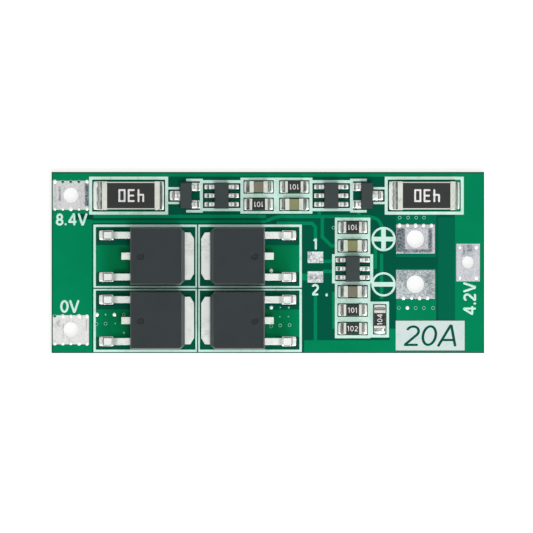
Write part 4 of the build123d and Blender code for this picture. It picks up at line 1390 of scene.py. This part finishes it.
SQUARE_GLYPHS = {
    "0": (0.56, [[(0.08, 0.0), (0.08, 1.0)], [(0.48, 0.0), (0.48, 1.0)], [(0.02, 0.92), (0.54, 0.92)],
                 [(0.02, 0.08), (0.54, 0.08)]]),
    "3": (0.56, [[(0.48, 0.0), (0.48, 1.0)], [(0.02, 0.92), (0.54, 0.92)], [(0.02, 0.08), (0.54, 0.08)],
                 [(0.06, 0.5), (0.54, 0.5)]]),
    "4": (0.56, [[(0.44, 0.0), (0.44, 1.0)], [(0.08, 1.0), (0.08, 0.42)], [(0.02, 0.44), (0.54, 0.44)]]),
}
print(len(GLYPHS), "round and", len(SQUARE_GLYPHS), "square glyphs")

# %% [markdown]
# The pen tree turns each stroke into a curve, tapers its radius to nothing over the last half width so that
# the end is round, sweeps a circle along it and flattens the result to the ink's thickness.

# %% Tree: pen
PEN_STEP = 0.2                               # between two rings of the sweep, as a share of the half width
PEN_STEPS = 8                                # round the pen
THINNEST = 0.0004                            # keeps the last ring from closing to a point


def make_pen_tree():
    tree, given = new_tree("pen", [("Half Width", "Float"), ("Rise", "Float")])
    half = Flow(tree, given["Half Width"])
    path = add(tree, "GeometryNodeMeshToCurve", {"Mesh": given["Geometry"]})
    fine = add(tree, "GeometryNodeResampleCurve", {"Curve": path.outputs[0], "Length": half * PEN_STEP},
               mode="LENGTH")
    done = Flow(tree, tree.nodes.new("GeometryNodeSplineParameter").outputs["Length"])
    whole = Flow(tree, tree.nodes.new("GeometryNodeSplineLength").outputs["Length"])
    from_end = done.math("MINIMUM", whole - done) / half
    round_end = (1.0 - (1.0 - from_end.math("MINIMUM", 1.0)) ** 2.0).math("MAXIMUM", THINNEST).math("SQRT")
    closed = Flow(tree, tree.nodes.new("GeometryNodeInputSplineCyclic").outputs[0])
    width = round_end.math("MAXIMUM", closed)
    section = add(tree, "GeometryNodeCurvePrimitiveCircle", {"Resolution": PEN_STEPS, "Radius": half})
    swept = add(tree, "GeometryNodeCurveToMesh",
                {"Curve": fine.outputs[0], "Profile Curve": section.outputs[0], "Scale": width,
                 "Fill Caps": True})
    flattened = combine(tree, 1.0, 1.0, Flow(tree, given["Rise"]) / half)
    flat = add(tree, "GeometryNodeTransform", {"Geometry": swept.outputs[0], "Scale": flattened})
    return close_tree(tree, flat.outputs[0], given["Finish"])


pen_tree = make_pen_tree()
print(pen_tree.name, "has", len(pen_tree.nodes), "nodes")

# %% [markdown]
# A word is the strokes of its letters, side by side and centred on the origin. It is drawn there, made a mesh
# and then put in its place. A stroke that ends where it began is closed, and needs no round ends.

# %% Words
SAME_POINT = 1e-9                            # metres


def word(text, glyphs, height, gap, slant=0.0):
    """The strokes of a word, centred on the origin; its height and gap in millimetres."""
    strokes, x = [], 0.0
    for letter in text:
        width, lines = glyphs[letter]
        for line in lines:
            strokes.append([((x + px + slant * py), py) for px, py in line])
        x += width + gap / height
    length = x - gap / height + slant
    return [[((px - length / 2) * height * MM, (py - 0.5) * height * MM) for px, py in s] for s in strokes]


def drawn(strokes, stroke, rise, finish, place):
    """The strokes as a mesh of the given line width, moved to its place."""
    points, edges = [], []
    for line in strokes:
        closed = (Vector(line[0]) - Vector(line[-1])).length < SAME_POINT
        line = line[:-1] if closed else line
        first = len(points)
        points += [(x, y, 0) for x, y in line]
        edges += [(first + i, first + i + 1) for i in range(len(line) - 1)]
        edges += [(first + len(line) - 1, first)] if closed else []
    carrier = bpy.data.meshes.new("strokes")
    carrier.from_pydata(points, edges, [])
    mesh = grown(carrier, pen_tree, Half_Width=stroke / 2 * MM, Rise=rise * MM, Finish=finish)
    mesh.transform(place)
    return mesh


print("8.4V has", len(word("8.4V", GLYPHS, 1.0, 0.0)), "strokes")

# %% [markdown]
# The print next to the terminals gives their voltages, and the two test pads are numbered. Each word is
# placed from its land. A white dot marks pin one of the protection chip.

# %% Lettering on the board
LABEL_STROKE = 0.24
LABEL_GAP = 0.12                             # between two letters
INK_RISE = 0.035
PIN_MARK = (326.6, 294.8)                    # its pixel in the photograph
PIN_MARK_LENGTH, PIN_MARK_STROKE = 0.3, 0.36


def at(x, y, z, turn=0.0):
    return Matrix.Translation((x, y, z)) @ Matrix.Rotation(math.radians(turn), 4, "Z")


def label(text, land, height, right, above=0.0, below=0.0, turn=0):
    """A word above or below its land, which is given as two corners."""
    low, high = land
    x = (low.x + high.x) / 2 + right * MM
    y = high.y + above * MM if above else low.y - below * MM
    strokes = word(text, GLYPHS, height, LABEL_GAP)
    return drawn(strokes, LABEL_STROKE, INK_RISE, ink_finish, at(x, y, copper_z, turn))


def make_pin_mark():
    half = PIN_MARK_LENGTH / 2 * MM
    place = at(*from_photo([PIN_MARK], board_high.z)[0])
    return drawn([[(-half, 0), (half, 0)]], PIN_MARK_STROKE, INK_RISE, ink_finish, place)


upper_pad, lower_pad = sorted(islands("test_pads"), key=lambda box: -box[0].y)
labels = [label("8.4V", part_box("high_terminal"), height=1.33, right=0.1, below=1.05),
          label("0V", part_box("zero_terminal"), height=1.39, right=-0.1, above=0.98),
          label("4.2V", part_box("mid_terminal"), height=1.4, right=0.17, below=1.87, turn=90),
          label("1", upper_pad, height=1.25, right=0, above=0.84),
          label("2", lower_pad, height=1.25, right=0, below=0.76)]
letters = merged_meshes("letters", [*labels, make_pin_mark()])
piece("printed_letters", letters, None, "ink")
print("letters:", len(letters.polygons), "faces")

# %% [markdown]
# The value codes on the resistors are printed in the same way on top of their black glass. The two bleed
# resistors carry square numerals, and some parts were placed upside down, which does them no harm.

# %% Value codes
CODES = {"resistor_1": ("101", 180), "resistor_2": ("101", 180), "resistor_3": ("101", 180),
         "resistor_4": ("101", 0), "resistor_5": ("102", 0), "resistor_6": ("104", 90)}
CODE_HEIGHT, CODE_STROKE, CODE_GAP = 0.6, 0.08, 0.1
BLEED_CODE_HEIGHT, BLEED_CODE_STROKE, BLEED_CODE_GAP = 1.43, 0.2, 0.22
BLEED_CODE_SHIFT = 0.05                      # right of the middle
CODE_RISE = 0.02


def printed_on(node, strokes, stroke, turn, shift=0.0):
    """Strokes printed on top of a part."""
    middle, top = node_centre(node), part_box(node)[1].z
    place = at(middle.x + shift * MM, middle.y, top, turn)
    return drawn(strokes, stroke, CODE_RISE, code_finish, place)


def make_codes():
    chips = [printed_on(node + "_body", word(text, GLYPHS, CODE_HEIGHT, CODE_GAP), CODE_STROKE, turn)
             for node, (text, turn) in CODES.items()]
    square = word("430", SQUARE_GLYPHS, BLEED_CODE_HEIGHT, BLEED_CODE_GAP)
    bleeds = [printed_on(node + "_coat", square, BLEED_CODE_STROKE, 180, BLEED_CODE_SHIFT) for node in BLEEDS]
    return chips + bleeds


codes = merged_meshes("codes", make_codes())
piece("value_codes", codes, None, "ink")
print("codes:", len(codes.polygons), "faces")

# %% [markdown]
# The rating is left open in a white plate, so that the green board shows through the numerals. The plate's
# copy is cut with the strokes of the word. The frames round the parts keep their shape, but their corners
# are printed with a small radius.

# %% Rating plate, frames and signs
RATING_HEIGHT, RATING_STROKE, RATING_SLANT = 2.42, 0.27, 0.12
RATING_GAP = 0.1
RATING_SHIFT = 0.19                          # right of the middle of its plate
RATING_STRETCH = 1.16                        # its letters are wider than the others
CUTTER_RISE = 0.2                            # more than the plate is thick
FRAME_CORNER = 0.16


def make_rating_plate():
    low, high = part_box("rating_plate")
    middle = (low + high) / 2
    place = at(middle.x + RATING_SHIFT * MM, middle.y, low.z) @ Matrix.Scale(RATING_STRETCH, 4, (1, 0, 0))
    strokes = word("20A", GLYPHS, RATING_HEIGHT, RATING_GAP, RATING_SLANT)
    cutter = new_object("cutter", drawn(strokes, RATING_STROKE, CUTTER_RISE, ink_finish, place))
    return cut(to_mesh(clean_copy("rating_plate"), "rating_plate"), cutter)


def rounded_frames():
    """The printed frames with their standing edges rounded."""
    work = clean_copy("legend_frames")
    standing = [e for e in work.edges if abs((e.verts[0].co - e.verts[1].co).normalized().z) > UPWARD]
    bmesh.ops.bevel(work, geom=standing, offset=FRAME_CORNER * MM, segments=3, profile=0.5, affect="EDGES",
                    clamp_overlap=True)
    return to_mesh(work, "frames")


piece("rating_plate_open", make_rating_plate(), plate_finish, "ink", "rating_plate")
piece("printed_frames", rounded_frames(), ink_finish, "ink", "legend_frames")
dress("polarity_signs", ink_finish)
print("rating plate, frames and signs")

# %% [markdown]
# The board lies on a white table. The table lifts itself to white for the camera and for reflections only, so
# that no extra light reaches the object and its shadow stays.

# %% Table
TABLE_HALF = 1.5                             # metres
TABLE_GAP = 0.01                             # under the board, so that the two faces don't flicker
TABLE_GREY, TABLE_GLOW = 0.35, 0.74


def seen_or_mirrored(tree):
    """One for rays from the camera, from gloss and through glass, and zero for light itself."""
    path = tree.nodes.new("ShaderNodeLightPath").outputs
    rays = [Flow(tree, path[name]) for name in ("Is Camera Ray", "Is Glossy Ray", "Is Transmission Ray")]
    return rays[0].math("MAXIMUM", rays[1]).math("MAXIMUM", rays[2])


def make_table():
    work = bmesh.new()
    bmesh.ops.create_grid(work, x_segments=1, y_segments=1, size=TABLE_HALF,
                          matrix=Matrix.Translation((0, 0, -TABLE_GAP * MM)))
    table = new_object("table", to_mesh(work, "table"))
    material, tree, shader, _ = new_finish("table_top", Roughness=0.9, Specular_IOR_Level=0.0,
                                           Base_Color=(*[TABLE_GREY] * 3, 1), Emission_Color=(1, 1, 1, 1))
    tree.links.new((seen_or_mirrored(tree) * TABLE_GLOW).socket, shader.inputs["Emission Strength"])
    table.data.materials.append(material)


make_table()
print("table", 2 * TABLE_HALF, "m wide")

# %% [markdown]
# One soft lamp hangs high on the near side and gives the tall parts their short shadow. A second, low lamp
# draws the walls that face it.

# %% Lamps
KEY_PLACE, KEY_SIZE, KEY_POWER = (0.1, -0.22, 0.56), 0.2, 1.05          # metres and watts
LOW_PLACE, LOW_SIZE, LOW_POWER = (0.2, -0.45, 0.1), 0.16, 1.6


def make_lamp(name, place, size, power):
    light = bpy.data.lights.new(name, "AREA")
    light.shape, light.size, light.energy = "DISK", size, power
    lamp = new_object(name, light)
    lamp.location = place
    lamp.rotation_mode = "QUATERNION"
    lamp.rotation_quaternion = (-Vector(place)).to_track_quat("-Z", "Y")


make_lamp("key", KEY_PLACE, KEY_SIZE, KEY_POWER)
make_lamp("low_lamp", LOW_PLACE, LOW_SIZE, LOW_POWER)
print("two lamps")

# %% [markdown]
# The world fills the shadows with a plain light. To the camera and in reflections it looks like a pale
# studio, darker towards the horizon, so that metal has something to mirror.

# %% World
FILL = 0.64
HORIZON, ZENITH, ZENITH_HEIGHT = 0.5, 0.96, 0.9  # how pale the studio is, low down and high up


def make_world():
    world = bpy.data.worlds.new("studio")
    world.use_nodes = True
    tree = world.node_tree
    background = tree.nodes["Background"]
    background.inputs["Color"].default_value = (1, 1, 1, 1)
    height = split(tree, tree.nodes.new("ShaderNodeTexCoord").outputs["Generated"])[2]
    backdrop = height.ramp(0.0, ZENITH_HEIGHT, HORIZON, ZENITH)
    seen = seen_or_mirrored(tree)
    tree.links.new((seen * (backdrop - FILL) + FILL).socket, background.inputs["Strength"])
    scene.world = world


make_world()
print(scene.world.name)
